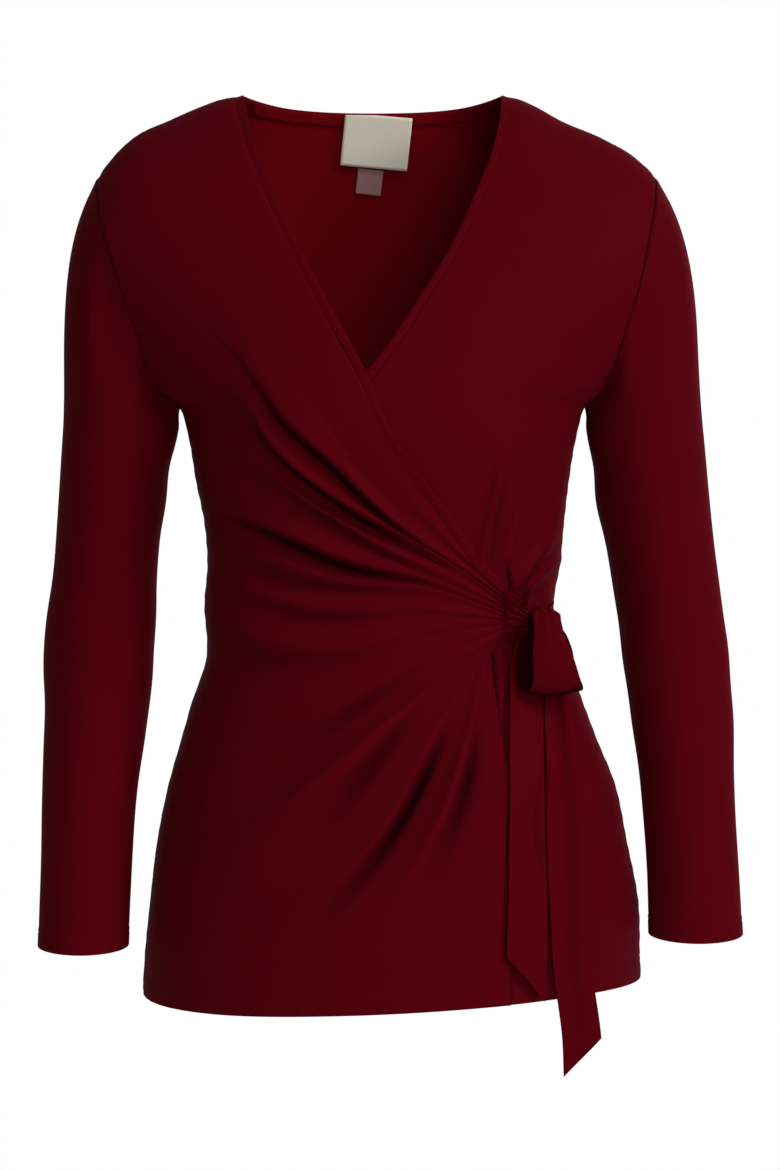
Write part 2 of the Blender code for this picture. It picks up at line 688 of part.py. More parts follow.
def back_top(s):
    """The back's upper edge: shoulder seam, neckline, shoulder seam."""
    start, end = BACK_NECK_SHARE
    xs = BACK_NECK["x"][0] + (BACK_NECK["x"][-1] - BACK_NECK["x"][0]) * np.clip(
        (s - start) / (end - start), 0, 1
    )
    drops = through(xs, BACK_NECK["x"], BACK_NECK["drop"])
    neck = np.stack([across_at(xs, drops, BACK), drops], axis=-1)
    right = seam_shoulder(1 - np.clip(s / start, 0, 1), RIGHT, BACK, BACK_NECK["x"][0])
    left = seam_shoulder(np.clip((s - end) / (1 - end), 0, 1), LEFT, BACK, BACK_NECK["x"][-1])
    return np.where((s < start)[..., None], right, np.where((s > end)[..., None], left, neck))


def back_panel(u, v):
    """The back. u runs from the wearer's right to the left, v down to the hem."""

    def hem_line(s):
        across = 2 * s - 1
        return np.stack([across, hem(across, BACK)], axis=-1)

    place = patch(
        u,
        v,
        lambda t: side_edge(t, RIGHT, BACK, ARM_SHARE),
        lambda t: side_edge(t, LEFT, BACK, ARM_SHARE),
        back_top,
        hem_line,
    )
    across, drop = place[..., 0], place[..., 1]
    x = form(across, drop, BACK)[..., 0]
    return cloth(across, drop, BACK, folds_at(x, drop, BACK_FOLDS))


def build_back():
    start, end = BACK_NECK_SHARE
    us = stops((0, 0.02, 1), (0.02, start, 5), (start, end, 12), (end, 0.98, 5), (0.98, 1, 1))
    sheet("back", us, BACK_ROWS, back_panel, from_middle)


# ---- Sleeves ----


def sleeve_ring(turn, drop, hand):
    """A point round the arm. turn is 0 outside, a quarter in front, a half inside."""
    side = "right" if hand == RIGHT else "left"
    x = through(drop, SLEEVE["drop"], SLEEVE[side])
    half = through(drop, SLEEVE["drop"], SLEEVE[side + "_half"])
    forward = through(drop, SLEEVE["drop"], SLEEVE["forward"])
    deep = through(drop, SLEEVE["drop"], SLEEVE["half_depth"])
    return np.stack(
        [x + hand * half * np.cos(turn), -forward - deep * np.sin(turn), -drop], axis=-1
    )


def build_sleeve(name, hand):
    """A set-in sleeve: the cap leaves the armhole seam and turns down into the arm."""
    top = SLEEVE["drop"][0]

    def place(u, v):
        turn = u * 2 * math.pi
        front = turn <= math.pi
        t = np.where(front, turn, 2 * math.pi - turn) / math.pi
        seams = {side: seam_armhole(t, hand, side) for side in (FRONT, BACK)}
        at_seam = {side: form(*seams[side].T, side) for side in (FRONT, BACK)}
        ends = np.exp(-((t / CAP_STRAIGHT) ** 2)) + np.exp(-(((1 - t) / CAP_STRAIGHT) ** 2))
        meet = ends[:, None]

        def joined(sides):
            """Each side's own value, and their mean where the front and the back meet."""
            own = np.where(front[:, None], sides[FRONT], sides[BACK])
            return own + ((sides[FRONT] + sides[BACK]) / 2 - own) * meet

        start = joined(at_seam)
        ring = sleeve_ring(turn, np.full(len(u), top), hand)
        span = np.linalg.norm(ring - start, axis=1)[:, None]
        cos = np.cos(turn)
        leave = np.stack(
            [hand * (0.52 + 0.26 * cos), -0.16 * np.sin(turn), -0.78 + 0.12 * cos], axis=-1
        )
        tangent = smooth((1 + cos) / 1.2)[:, None]
        facing = joined({side: cloth(*seams[side].T, side, 1.0) - at_seam[side] for side in seams})
        facing /= np.linalg.norm(facing, axis=1)[:, None]
        leave -= facing * np.sum(leave * facing, axis=1)[:, None] * tangent
        leave /= np.linalg.norm(leave, axis=1)[:, None]
        start = start + leave * (2 + 2 * smooth(-cos)[:, None]) * SEAM_GAP
        arrive = sleeve_ring(turn, np.full(len(u), top + 6.0), hand) - ring
        arrive /= np.linalg.norm(arrive, axis=1)[:, None]
        c = np.clip(v, 0, 1)[:, None]
        cap = (
            start * (1 + 2 * c) * (1 - c) ** 2
            + ring * c * c * (3 - 2 * c)
            + span * (leave * c * (1 - c) ** 2 - arrive * c * c * (1 - c))
        )
        end = CUFF_DROP[hand] + CUFF_TILT * np.sin(turn)
        drop = top + (end - top) * np.clip(v - 1, 0, 1)
        arm = sleeve_ring(turn, drop, hand)
        return np.where((v <= 1)[:, None], cap, arm)

    back = 2 - arm_stops(hand, BACK)[::-1]
    us = np.concatenate([arm_stops(hand, FRONT), back[1:]]) / 2
    vs = stops((0, 0.02, 1), (0.02, 1, 6), (1, 2, 11))
    sheet(name, us, vs, place, lambda p: (p.x - hand * 0.19, p.y, 0), closed=True)


# ---- Neckline edges and tape ----


def build_neckband(name, hand, rows):
    """The turned and stitched edge along one front neckline, on its panel's own rows."""

    def place(u, v):
        point = neckline(v, hand, u * (BAND - SEAM_GAP / 2))
        return front_layer(point[:, 0], point[:, 1], 0, under=hand == LEFT)

    sheet(name, np.linspace(0, 1, 2), rows, place, from_middle)


def inside_back(x, drop, inset):
    """A point on the inner side of the back."""
    drop = np.maximum(drop, through(x, BACK_NECK["x"], BACK_NECK["drop"]) + 0.3)
    return cloth(across_at(x, drop, BACK), drop, BACK, -inset)


def build_tape():
    """The tape that covers the back neck seam, inside."""
    neck_x = BACK_NECK["x"]

    def place(u, v):
        x = neck_x[0] + TAPE_INSET + (neck_x[-1] - neck_x[0] - 2 * TAPE_INSET) * u
        drop = through(x, neck_x, BACK_NECK["drop"]) + 0.5 + TAPE * v
        return inside_back(x, drop, TAPE_INSIDE)

    sheet("neckband_back", np.linspace(0, 1, 23), np.linspace(0, 1, 2), place, from_middle, wall=1.0)


def build_label(name, spec, colour):
    """A woven or printed label that hangs inside the back neck."""

    def place(u, v):
        (x0, x1), (top, bottom) = spec["x"], spec["drop"]
        x = x0 + (x1 - x0) * u - spec["lean"] * (v - 0.5)
        drop = top + (bottom - top) * v + spec["lean"] * (u - 0.5)
        return inside_back(x, drop, spec["inside"])

    sheet(name, np.linspace(0, 1, 7), np.linspace(0, 1, 6), place, from_middle, colour, LABEL_WALL)


# ---- Tie ----


def out_at(x, drop, above):
    """How far in front of the origin a strip must be to clear the fronts."""
    across = across_at(x, drop, FRONT)
    return -front_layer(across, drop, above)[..., 1]


def down_strip(rows, v):
    """A table's columns at a share v of the way along the strip."""
    place = np.stack([rows["x"], rows["out"], rows["drop"]], axis=-1)
    reach = np.concatenate([[0], np.cumsum(np.linalg.norm(np.diff(place, axis=0), axis=1))])
    return {name: through(v * reach[-1], reach, column) for name, column in rows.items()}


def towards_viewer(point):
    return (0, -1, 0)


def build_tie_tip():
    """The gathered end of the top front, folded lengthwise on its way to the knot."""

    def place(u, v):
        at = down_strip(TIE_TIP, v)
        fold = at["fold"] * np.cos(2 * math.pi * 2 * u)
        drop = at["drop"] + at["width"] * (u - 0.5)
        return np.stack([at["x"] + 0.3 * fold, -at["out"] - fold, -drop], axis=-1)

    sheet("tie_tip", np.linspace(0, 1, 13), np.linspace(0, 1, 5), place, towards_viewer)


def build_tie_side():
    """The tie from the side seam, on the under front until it rises to the knot."""
    reach = np.linspace(0, 1, len(TIE_SIDE["across"]))

    def place(u, v):
        at = {name: through(v, reach, column) for name, column in TIE_SIDE.items()}
        fold = at["fold"] * (1 + np.cos(2 * math.pi * 2 * u))
        drop = at["drop"] + at["width"] * (u - 0.5)
        point = cloth(at["across"], drop, FRONT, at["proud"] + fold)
        point[:, 1] -= at["forward"]
        return point

    sheet("tie_side", np.linspace(0, 1, 13), np.linspace(0, 1, 9), place, from_middle)


def build_tail(name, rows, cut):
    """A hanging end, cut to a point."""

    def place(u, v):
        top = rows["drop"][0]
        drop = top + (cut[0] + (cut[1] - cut[0]) * u - top) * v
        at = {key: through(drop, rows["drop"], column) for key, column in rows.items()}
        x = at["left"] + (at["right"] - at["left"]) * u
        out = np.maximum(at["out"], out_at(x, np.minimum(drop, HIP), TIE_CLEARANCE + WALL))
        out = out + at["fold"] * (np.cos(2 * math.pi * u * 1.5) + 1)
        return np.stack([x, -out, -drop], axis=-1)

    sheet(name, np.linspace(0, 1, 7), np.linspace(0, 1, 17), place, towards_viewer)


def build_loop():
    """The half bow: one strip that leaves the knot in front and comes back behind."""

    def place(u, v):
        at = down_strip(LOOP, v)
        out = at["out"] + 1.6 * np.cos(2 * math.pi * (u - 0.5)) * (0.5 - v)
        x = at["x"] + at["width"] * (u - 0.5)
        return np.stack([x, -out, -at["drop"] - at["tilt"] * (u - 0.5)], axis=-1)

    sheet("tie_loop", np.linspace(0, 1, 6), np.linspace(0, 1, 19), place, lambda point: (0, 0, -1))


def build_knot():
    """The wrap of the knot: a pebble of cloth with soft pleats."""
    bpy.ops.mesh.primitive_uv_sphere_add(segments=21, ring_count=8, radius=1)
    knot = bpy.context.object
    half_x, half_y, half_z = KNOT["half"]
    for vertex in knot.data.vertices:
        turn = math.atan2(vertex.co.y, vertex.co.x)
        swell = 1 + KNOT["pleat"] * math.cos(KNOT["pleats"] * turn) * (1 - vertex.co.z**2)
        vertex.co = (
            (KNOT["x"] + vertex.co.x * half_x * swell) * MM,
            (-KNOT["out"] + vertex.co.y * half_y * swell) * MM,
            (-KNOT["drop"] + vertex.co.z * half_z) * MM,
        )
    finish(knot, "tie_knot", BURGUNDY, 0)


# ---- The garment ----

for old in list(bpy.data.objects):
    bpy.data.objects.remove(old)
GARMENT = bpy.data.collections.new("wrap_top")
bpy.context.scene.collection.children.link(GARMENT)

build_top_front()
build_under_front()
build_back()
build_sleeve("sleeve_right", RIGHT)
build_sleeve("sleeve_left", LEFT)
build_neckband("neckband_right", RIGHT, 1 - TOP_ROWS)
build_neckband("neckband_left", LEFT, UNDER_ROWS[UNDER_ROWS <= UNDER_WAIST] / UNDER_WAIST)
build_tape()
build_label("label", LABEL, WOVEN_LABEL)
build_label("care_label", CARE_LABEL, PRINTED_LABEL)
build_tie_tip()
build_tie_side()
build_knot()
build_loop()
build_tail("tie_tail_short", SHORT_TAIL, TAIL_CUT["short"])
build_tail("tie_tail_long", LONG_TAIL, TAIL_CUT["long"])
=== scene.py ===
"""Wrap top in burgundy jersey, filled out as if worn.

The right front laps over the left front and is gathered at the wearer's left waist into a tie
with one loop and two hanging ends. Sizes are millimetres unless a line says otherwise. "drop" is
the distance below the origin, the front faces -Y and the wearer's right side is at -X.
"""

import math

import bmesh
import bpy
import numpy as np
from mathutils import Matrix, Vector


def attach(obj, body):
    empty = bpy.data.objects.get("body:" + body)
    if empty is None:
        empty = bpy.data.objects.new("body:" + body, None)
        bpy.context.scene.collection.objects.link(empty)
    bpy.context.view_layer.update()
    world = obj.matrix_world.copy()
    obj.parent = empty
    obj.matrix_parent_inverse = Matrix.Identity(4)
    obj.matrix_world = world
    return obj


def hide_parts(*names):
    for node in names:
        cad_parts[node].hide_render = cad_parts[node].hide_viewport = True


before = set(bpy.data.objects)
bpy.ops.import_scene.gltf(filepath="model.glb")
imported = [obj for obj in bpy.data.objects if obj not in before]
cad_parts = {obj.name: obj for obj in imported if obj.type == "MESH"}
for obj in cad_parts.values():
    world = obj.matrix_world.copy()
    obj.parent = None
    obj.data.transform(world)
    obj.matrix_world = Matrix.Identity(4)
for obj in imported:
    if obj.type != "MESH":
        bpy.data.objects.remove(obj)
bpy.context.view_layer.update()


# ---- Back ----
# One panel of jersey, cut on the fold and shaped at the waist. It is sewn to both fronts at the
# shoulders and sides, and its hem is turned up and coverstitched. The worn form of the whole top
# is set out here, because every other panel joins it.

MM = 0.001
JERSEY = 0.9  # the cloth's wall: a two-ply look at seams and edges
FRONT, BACK = -1, 1
RIGHT, LEFT = -1, 1  # the wearer's sides


def table(names, *rows):
    """A table's columns by name."""
    return dict(zip(names.split(), np.array(rows, float).T))


# The body: outline at its right and left sides, and how deep the section is before and behind
BODY = table(
    "drop right left front back",
    (-20, -248, 250, 36, 50),
    (0, -246, 249, 44, 56),
    (30, -241, 245, 54, 67),
    (60, -232, 237, 64, 79),
    (100, -212, 217, 79, 91),
    (138, -193, 201, 93, 99),
    (165, -175, 184, 102, 102),
    (190, -155, 164, 108, 103),
    (217, -137, 146, 113, 102),
    (240, -130.5, 139.5, 114, 99),
    (270, -125.5, 134.5, 110, 93),
    (300, -119.5, 131, 103, 86),
    (330, -117.5, 128, 98, 81),
    (354, -119.5, 124, 97, 80),
    (396, -118.5, 129, 101, 85),
    (424, -128, 143.5, 104, 90),
    (452, -136, 154.5, 107, 95),
    (480, -144, 166, 110, 100),
    (522, -152.5, 175, 113, 106),
    (564, -157.5, 183, 115, 110),
    (606, -161.5, 184, 116, 112),
    (660, -163, 185, 117, 113),
)
FULLNESS = 0.9  # below 1 the section is squarer than an ellipse
CROWN_DROP = 56  # how far below the shoulder line the section is fully open
BUST = table("x drop width height proud", (-60, 236, 40, 46, 6), (68, 236, 40, 46, 6))

# The shoulder line, seen from the front; between the neck points it only guides the crown
SHOULDER = table(
    "x drop",
    (-212, 92), (-194, 58), (-185.5, 45.5), (-171.5, 31.5), (-143.5, 17.5), (-124, 9),
    (-109, 3.5), (-93, 0), (-60, -32), (0, -52), (57, -32), (88, 0), (101, 3.5), (113, 9),
    (128, 17.5), (160, 31.5), (183, 45.5), (195, 58), (213, 92),
)
# The armhole seam
ARMHOLE = table(
    "drop right left",
    (58, -194, 195),
    (80, -191.5, 193),
    (100, -187.5, 189.5),
    (140, -175, 181),
    (175, -164, 170),
    (198, -157, 162),
    (211, -148, 155),
    (217, -137, 146),
)
ARMHOLE_TOP, UNDERARM = 58, 217
ARMHOLE_MIDDLE, ARMHOLE_HALF = (ARMHOLE_TOP + UNDERARM) / 2, (UNDERARM - ARMHOLE_TOP) / 2
ARMHOLE_DEPTH = {FRONT: 46, BACK: 52}
ARMHOLE_BACK_SHIFT = 5  # the seam lies this much further out at the back
HEM_TURN = 13.5  # height of the turned hem
HEM_ROWS = (11.6, 14.6)  # the two needle rows, up from the edge
HEM = table(
    "across front back",
    (-1, 626.5, 626.5),
    (-0.8, 631, 628.5),
    (-0.45, 635, 630),
    (-0.1, 633, 630.5),
    (0.3, 627, 628.5),
    (0.6, 621.5, 624),
    (0.85, 618, 619),
    (1, 616, 616),
)
BACK_NECK = table("x drop", (-93, 0), (-62, 4), (0, 6.5), (58, 4), (88, 0))
BACK_WIDTH = 390  # of the panel across the shoulders
BACK_NECK_SHARE = (0.24, 0.76)  # the neckline's part of the back's upper edge
ARM_SHARE = 0.3  # share of a panel's side edge that is armhole
BACK_FOLDS = table(
    "x0 drop0 x1 drop1 proud width",
    (-96, 318, -14, 352, 4.5, 7),
    (104, 312, 20, 350, 4.5, 7),
    (-99, 345, -40, 366, 3.5, 6),
    (108, 342, 44, 364, 3.5, 6),
    (-98, 372, -24, 388, 3.5, 7),
    (108, 368, 30, 386, 3.5, 7),
    (-60, 450, -90, 626, 5, 15),
    (-18, 470, -30, 626, 3, 12),
    (14, 440, 8, 626, 4, 15),
    (74, 450, 104, 620, 5, 15),
    (-150, 190, -96, 232, 3, 9),
    (158, 190, 104, 232, 3, 9),
)


def smooth(t):
    """0 to 1 with a soft start and end."""
    t = np.clip(t, 0, 1)
    return t * t * (3 - 2 * t)


def bell(off, width):
    """1 in the middle and dying out on both sides."""
    return np.exp(-((off / width) ** 2))


def through(at, stations, values):
    """A smooth curve through the values at rising stations."""
    stations, values = np.asarray(stations, float), np.asarray(values, float)
    slopes = np.gradient(values, stations)
    i = np.clip(np.searchsorted(stations, at) - 1, 0, len(stations) - 2)
    span = stations[i + 1] - stations[i]
    t = np.clip((at - stations[i]) / span, 0, 1)
    rise = smooth(t)
    bend = span * t * (1 - t) * ((1 - t) * slopes[i] - t * slopes[i + 1])
    return values[i] * (1 - rise) + values[i + 1] * rise + bend


def read(rows, stations, at):
    """Every column of a table, read at places along its stations."""
    return {name: through(at, stations, column) for name, column in rows.items()}


def beside(*columns):
    """Columns side by side, as points."""
    return np.stack(np.broadcast_arrays(*columns), axis=-1)


def unit(arrows):
    return arrows / np.linalg.norm(arrows, axis=-1, keepdims=True)


def shoulder_line(x):
    return through(x, SHOULDER["x"], SHOULDER["drop"])


def section(drop):
    """Middle and half width of the body."""
    right = through(drop, BODY["drop"], BODY["right"])
    left = through(drop, BODY["drop"], BODY["left"])
    return (left + right) / 2, (left - right) / 2


def depth(drop, side):
    return through(drop, BODY["drop"], BODY["front" if side == FRONT else "back"])


def crown(x, drop):
    """Opening of the section below the shoulder line: 0 on the line, 1 well below it."""
    fall = np.clip((drop - shoulder_line(x)) / CROWN_DROP, 0, 1)
    return np.sqrt(fall * (2 - fall))


def armhole(drop, hand, side):
    """The armhole seam: x and distance from the side plane."""
    swing = np.sqrt(np.clip(1 - ((drop - ARMHOLE_MIDDLE) / ARMHOLE_HALF) ** 2, 0, 1))
    x = through(drop, ARMHOLE["drop"], ARMHOLE["right" if hand == RIGHT else "left"])
    x = x + (hand * ARMHOLE_BACK_SHIFT * swing**2 if side == BACK else 0)
    return x, ARMHOLE_DEPTH[side] * swing


def armhole_angle(drop, hand, side):
    """The angle round the section at which the armhole seam lies."""
    x, out = armhole(drop, hand, side)
    share = out / (depth(drop, side) * np.maximum(crown(x, drop), 0.005))
    return np.arccos(np.clip(share, 0, 0.98) ** (1 / FULLNESS))


def flare(drop, hand, side):
    """Extra width at the edge, so that the form passes through the armhole seam."""
    drop = np.clip(drop, ARMHOLE_TOP + 0.05, UNDERARM)
    middle, half = section(drop)
    edge = np.sin(armhole_angle(drop, hand, side))
    return (armhole(drop, hand, side)[0] - middle - hand * half * edge) / edge**5


def form(across, drop, side):
    """A point of the body: across runs from -1 at the right side seam to 1 at the left."""
    across, drop = np.broadcast_arrays(np.asarray(across, float), np.asarray(drop, float))
    angle = across * math.pi / 2
    middle, half = section(drop)
    extra = np.where(across < 0, flare(drop, RIGHT, side), flare(drop, LEFT, side))
    x = middle + half * np.sin(angle) + extra * np.abs(np.sin(angle)) ** 5
    out = depth(drop, side) * np.maximum(np.cos(angle), 0) ** FULLNESS * crown(x, drop)
    if side == FRONT:
        for bx, bd, width, height, proud in zip(*BUST.values()):
            out = out + proud * np.exp(-(((x - bx) / width) ** 2) - ((drop - bd) / height) ** 2)
    return beside(x, side * (out + 0.04), -drop)


def across_at(x, drop, side):
    """Where a given x lies across the form."""
    x, drop = np.broadcast_arrays(np.asarray(x, float), np.asarray(drop, float))
    low, high = np.full(x.shape, -1.0), np.full(x.shape, 1.0)
    for _ in range(26):
        middle = (low + high) / 2
        beyond = form(middle, drop, side)[..., 0] > x
        low, high = np.where(beyond, low, middle), np.where(beyond, middle, high)
    return (low + high) / 2


def cloth(across, drop, side, proud=0.0):
    """Points of a layer of cloth that stands proud of the form, square to it."""
    point = form(across, drop, side)
    a = np.clip(across, -0.992, 0.992)
    d = np.maximum(drop, shoulder_line(point[..., 0]) + 1.5)
    wide = form(a + 0.004, d, side) - form(a - 0.004, d, side)
    down = form(a, d + 0.8, side) - form(a, d - 0.8, side)
    out = unit(side * np.cross(wide, down))
    return point + out * np.asarray(proud)[..., None]


def folds_at(x, drop, lines):
    """Height of the ridges of a table of straight fold lines. Each rises gently on one side and
    falls more steeply on the other, as cloth does when it is drawn to one end."""
    height = np.zeros(np.shape(x))
    for x0, drop0, x1, drop1, proud, width in zip(*lines.values()):
        run = np.array([x1 - x0, drop1 - drop0])
        length = np.hypot(*run)
        share = ((x - x0) * run[0] + (drop - drop0) * run[1]) / length**2
        off = ((x - x0) * run[1] - (drop - drop0) * run[0]) / length
        spread = np.where(off > 0, width * 0.7, width * 1.3)
        fade = smooth(share / 0.25) * smooth((1 - share) / 0.4)
        height = height + proud * bell(off, spread) * fade
    return height


def ease(across, x, drop, side):
    """Slack that lies in soft, wide ripples over the whole body and dies out at the side seams."""
    ripple = 0.7 * np.sin(x / 19 + drop / 41 + 2 * side) * np.sin(drop / 63 + 1.2)
    ripple = ripple + 0.5 * np.sin(x / 31 - drop / 27 + side)
    return ripple * np.cos(across * math.pi / 2) ** 1.5 * smooth((drop - 60) / 160)


def seam_armhole(t, hand, side):
    """From the shoulder point, t = 0, to the underarm, t = 1, as (across, drop)."""
    drop = ARMHOLE_MIDDLE - ARMHOLE_HALF * np.cos(np.pi * t)
    used = np.clip(drop, ARMHOLE_TOP + 0.05, UNDERARM)
    return beside(hand * armhole_angle(used, hand, side) * 2 / math.pi, drop)


def seam_shoulder(t, hand, side, from_x):
    """From the neckline, t = 0, to the shoulder point, t = 1."""
    t = np.append(t, 1.0)
    x = from_x + (armhole(ARMHOLE_TOP, hand, side)[0] - from_x) * t
    drop = shoulder_line(x)
    point = beside(across_at(x, drop, side), drop)
    end = seam_armhole(np.zeros(1), hand, side)
    return (point + (end - point[-1:]) * t[:, None] ** 4)[:-1]


def hem(across, side):
    return through(across, HEM["across"], HEM["front" if side == FRONT else "back"])


def hem_edge(across, side):
    return beside(across, hem(across, side))


def patch(s, t, west, east, north, south):
    """A point inside four edges. s runs west to east and t north to south. The upper edge's bend
    has died out at the underarm, where the lower edge's begins."""
    zero, one = np.zeros(1), np.ones(1)
    s1 = s[:, None]
    upper = north(s) - (1 - s1) * north(zero) - s1 * north(one)
    lower = south(s) - (1 - s1) * south(zero) - s1 * south(one)
    high = 1 - smooth(t / ARM_SHARE)
    low = smooth((t - ARM_SHARE) / (1 - ARM_SHARE))
    level = (1 - s1) * west(t) + s1 * east(t)
    return level + upper * high[:, None] + lower * low[:, None]


def side_edge(t, hand, side):
    """A panel's outer edge: the armhole down to ARM_SHARE, then the side seam to the hem."""
    arm_seam = seam_armhole(np.clip(t / ARM_SHARE, 0, 1), hand, side)
    low = np.clip((t - ARM_SHARE) / (1 - ARM_SHARE), 0, 1)
    seam = beside(hand, UNDERARM + (hem(hand, side) - UNDERARM) * low)
    return np.where((t < ARM_SHARE)[..., None], arm_seam, seam)


def turned_hem(up, turn=HEM_TURN, needle_rows=HEM_ROWS):
    """The turned hem is double, stands a little proud, and dips where its needle rows hold it."""
    row = sum(bell(up - r, 0.9) for r in needle_rows)
    return 0.4 * smooth((turn + 1.5 - up) / 2) - 0.35 * row


def panel_lift(across, x, drop, side, folds):
    """A panel's folds, slack and turned hem."""
    lift = folds_at(x, drop, folds) + ease(across, x, drop, side)
    return lift + turned_hem(hem(across, side) - drop)


def seam_dip(off, along_seam=0.0):
    """A seam is held down by its thread, and the cloth beside it stands up and puckers a little."""
    stand = 0.6 + 0.2 * np.sin(along_seam / 1.9)
    return stand * (bell(off, 6) - bell(off, 1.2))


def even(count):
    return np.linspace(0, 1, count)


def stops(*runs):
    """Grid stations from (from, to, steps) runs that follow each other."""
    parts = [np.linspace(a, b, n + 1)[:-1] for a, b, n in runs]
    return np.concatenate(parts + [[runs[-1][1]]])


def linear(hex_colour):
    """An sRGB hex colour as linear RGBA."""
    parts = [int(hex_colour[i : i + 2], 16) / 255 for i in (1, 3, 5)]
    return [c / 12.92 if c <= 0.04045 else ((c + 0.055) / 1.055) ** 2.4 for c in parts] + [1.0]


def add_node(tree, kind, settings=(), links=()):
    """Adds a shader node with its settings and its incoming links (socket, (node, socket))."""
    node = tree.nodes.new("ShaderNode" + kind)
    for key, value in dict(settings).items():
        if isinstance(key, str) and hasattr(node, key):
            setattr(node, key, value)
        else:
            node.inputs[key].default_value = value
    for socket, (source, output) in dict(links).items():
        tree.links.new(source.outputs[output], node.inputs[socket])
    return node


def fresh_material(name):
    """A material with an empty tree but for its output."""
    made = bpy.data.materials.new(name)
    made.use_nodes = True
    tree = made.node_tree
    tree.nodes.clear()
    return made, tree, tree.nodes.new("ShaderNodeOutputMaterial")


# Painted shade: the near-black colour mixed into the cloth wherever shade is painted
PAINTED_SHADE_COLOUR = "#120102"
WALE, COURSE = 1.1, 3.3  # drawn spacing of the knit across and along
DYE_PATCH = 45  # over which the dye varies


def knitted_jersey(name, dark, light, bloom, wale_depth):
    """Twisted-yarn polyester jersey: a fine, close knit with a dry hand. Its yarn is matt along
    the wales and gives a faint pink bloom where the cloth turns away. Real wales are 0.6 mm
    apart, so they are drawn coarser to show at all. The attribute "painted_shade" says where
    shade is painted into the colour: where a tight fold or the inside of the bow closes on itself,
    and in a few other creases and gaps. There the colour is mixed towards almost black."""
    made, tree, output = fresh_material(name)
    place = add_node(tree, "TexCoord")
    wales = add_node(
        tree,
        "Mapping",
        {"Scale": (1 / (WALE * MM), 1 / (WALE * MM), 1 / (COURSE * MM))},
        {"Vector": (place, "Object")},
    )
    yarn = add_node(
        tree, "TexNoise", {"Scale": 1.0, "Detail": 2.0, "Roughness": 0.55}, {"Vector": (wales, "Vector")}
    )
    dye = add_node(
        tree,
        "TexNoise",
        {"Scale": 1 / (DYE_PATCH * MM), "Detail": 3.0, "Roughness": 0.6},
        {"Vector": (place, "Object")},
    )
    shade = add_node(tree, "Math", {"operation": "MULTIPLY_ADD", 1: 0.55, 2: 0.2}, {0: (yarn, "Fac")})
    mixed = add_node(
        tree, "Math", {"operation": "MULTIPLY_ADD", 1: 0.35}, {0: (dye, "Fac"), 2: (shade, "Value")}
    )
    colour = add_node(
        tree, "Mix", {"data_type": "RGBA", 6: linear(dark), 7: linear(light)}, {0: (mixed, "Value")}
    )
    # Painted shade, mixed into the colour as far as the attribute says
    painted_shade = add_node(tree, "Attribute", {"attribute_name": "painted_shade"})
    colour_with_painted_shade = add_node(
        tree, "Mix", {"data_type": "RGBA", 7: linear(PAINTED_SHADE_COLOUR)}, {0: (painted_shade, "Fac"), 6: (colour, 2)}
    )
    rough = add_node(tree, "MapRange", {"To Min": 0.42, "To Max": 0.56}, {"Value": (yarn, "Fac")})
    bump = add_node(
        tree, "Bump", {"Strength": 0.55, "Distance": wale_depth * MM}, {"Height": (yarn, "Fac")}
    )
    shader = add_node(
        tree,
        "BsdfPrincipled",
        {
            "IOR": 1.46,
            "Specular IOR Level": 0.04,
            "Specular Tint": linear(bloom),
            "Sheen Weight": 0.12,
            "Sheen Roughness": 0.4,
            "Sheen Tint": linear(bloom),
        },
        {"Base Color": (colour_with_painted_shade, 2), "Roughness": (rough, "Result"), "Normal": (bump, "Normal")},
    )
    tree.links.new(shader.outputs["BSDF"], output.inputs["Surface"])
    return made


JERSEY_CLOTH = knitted_jersey("burgundy_jersey", "#4a030b", "#57040f", "#c02048", 0.12)
# The reverse of the knit shows its purl side, which is duller, with a deeper bump; its lighter colour is
# painted light, so that inner faces the lamps leave dark, such as the inside of the back, read brighter
JERSEY_REVERSE_PAINTED_LIGHT = knitted_jersey("jersey_reverse_painted_light", "#62040c", "#700612", "#c02048", 0.18)


def towards(point):
    """Outwards on the body is away from its upright axis."""
    return Vector((point.x, point.y, 0))


def finished(name, shape, *finishes):
    """The object that a worked shape becomes, smooth and in its materials."""
    mesh = bpy.data.meshes.new(name)
    shape.to_mesh(mesh)
    shape.free()
    mesh.shade_smooth()
    for finish in finishes:
        mesh.materials.append(finish)
    piece = bpy.data.objects.new(name, mesh)
    bpy.context.scene.collection.objects.link(piece)
    return piece


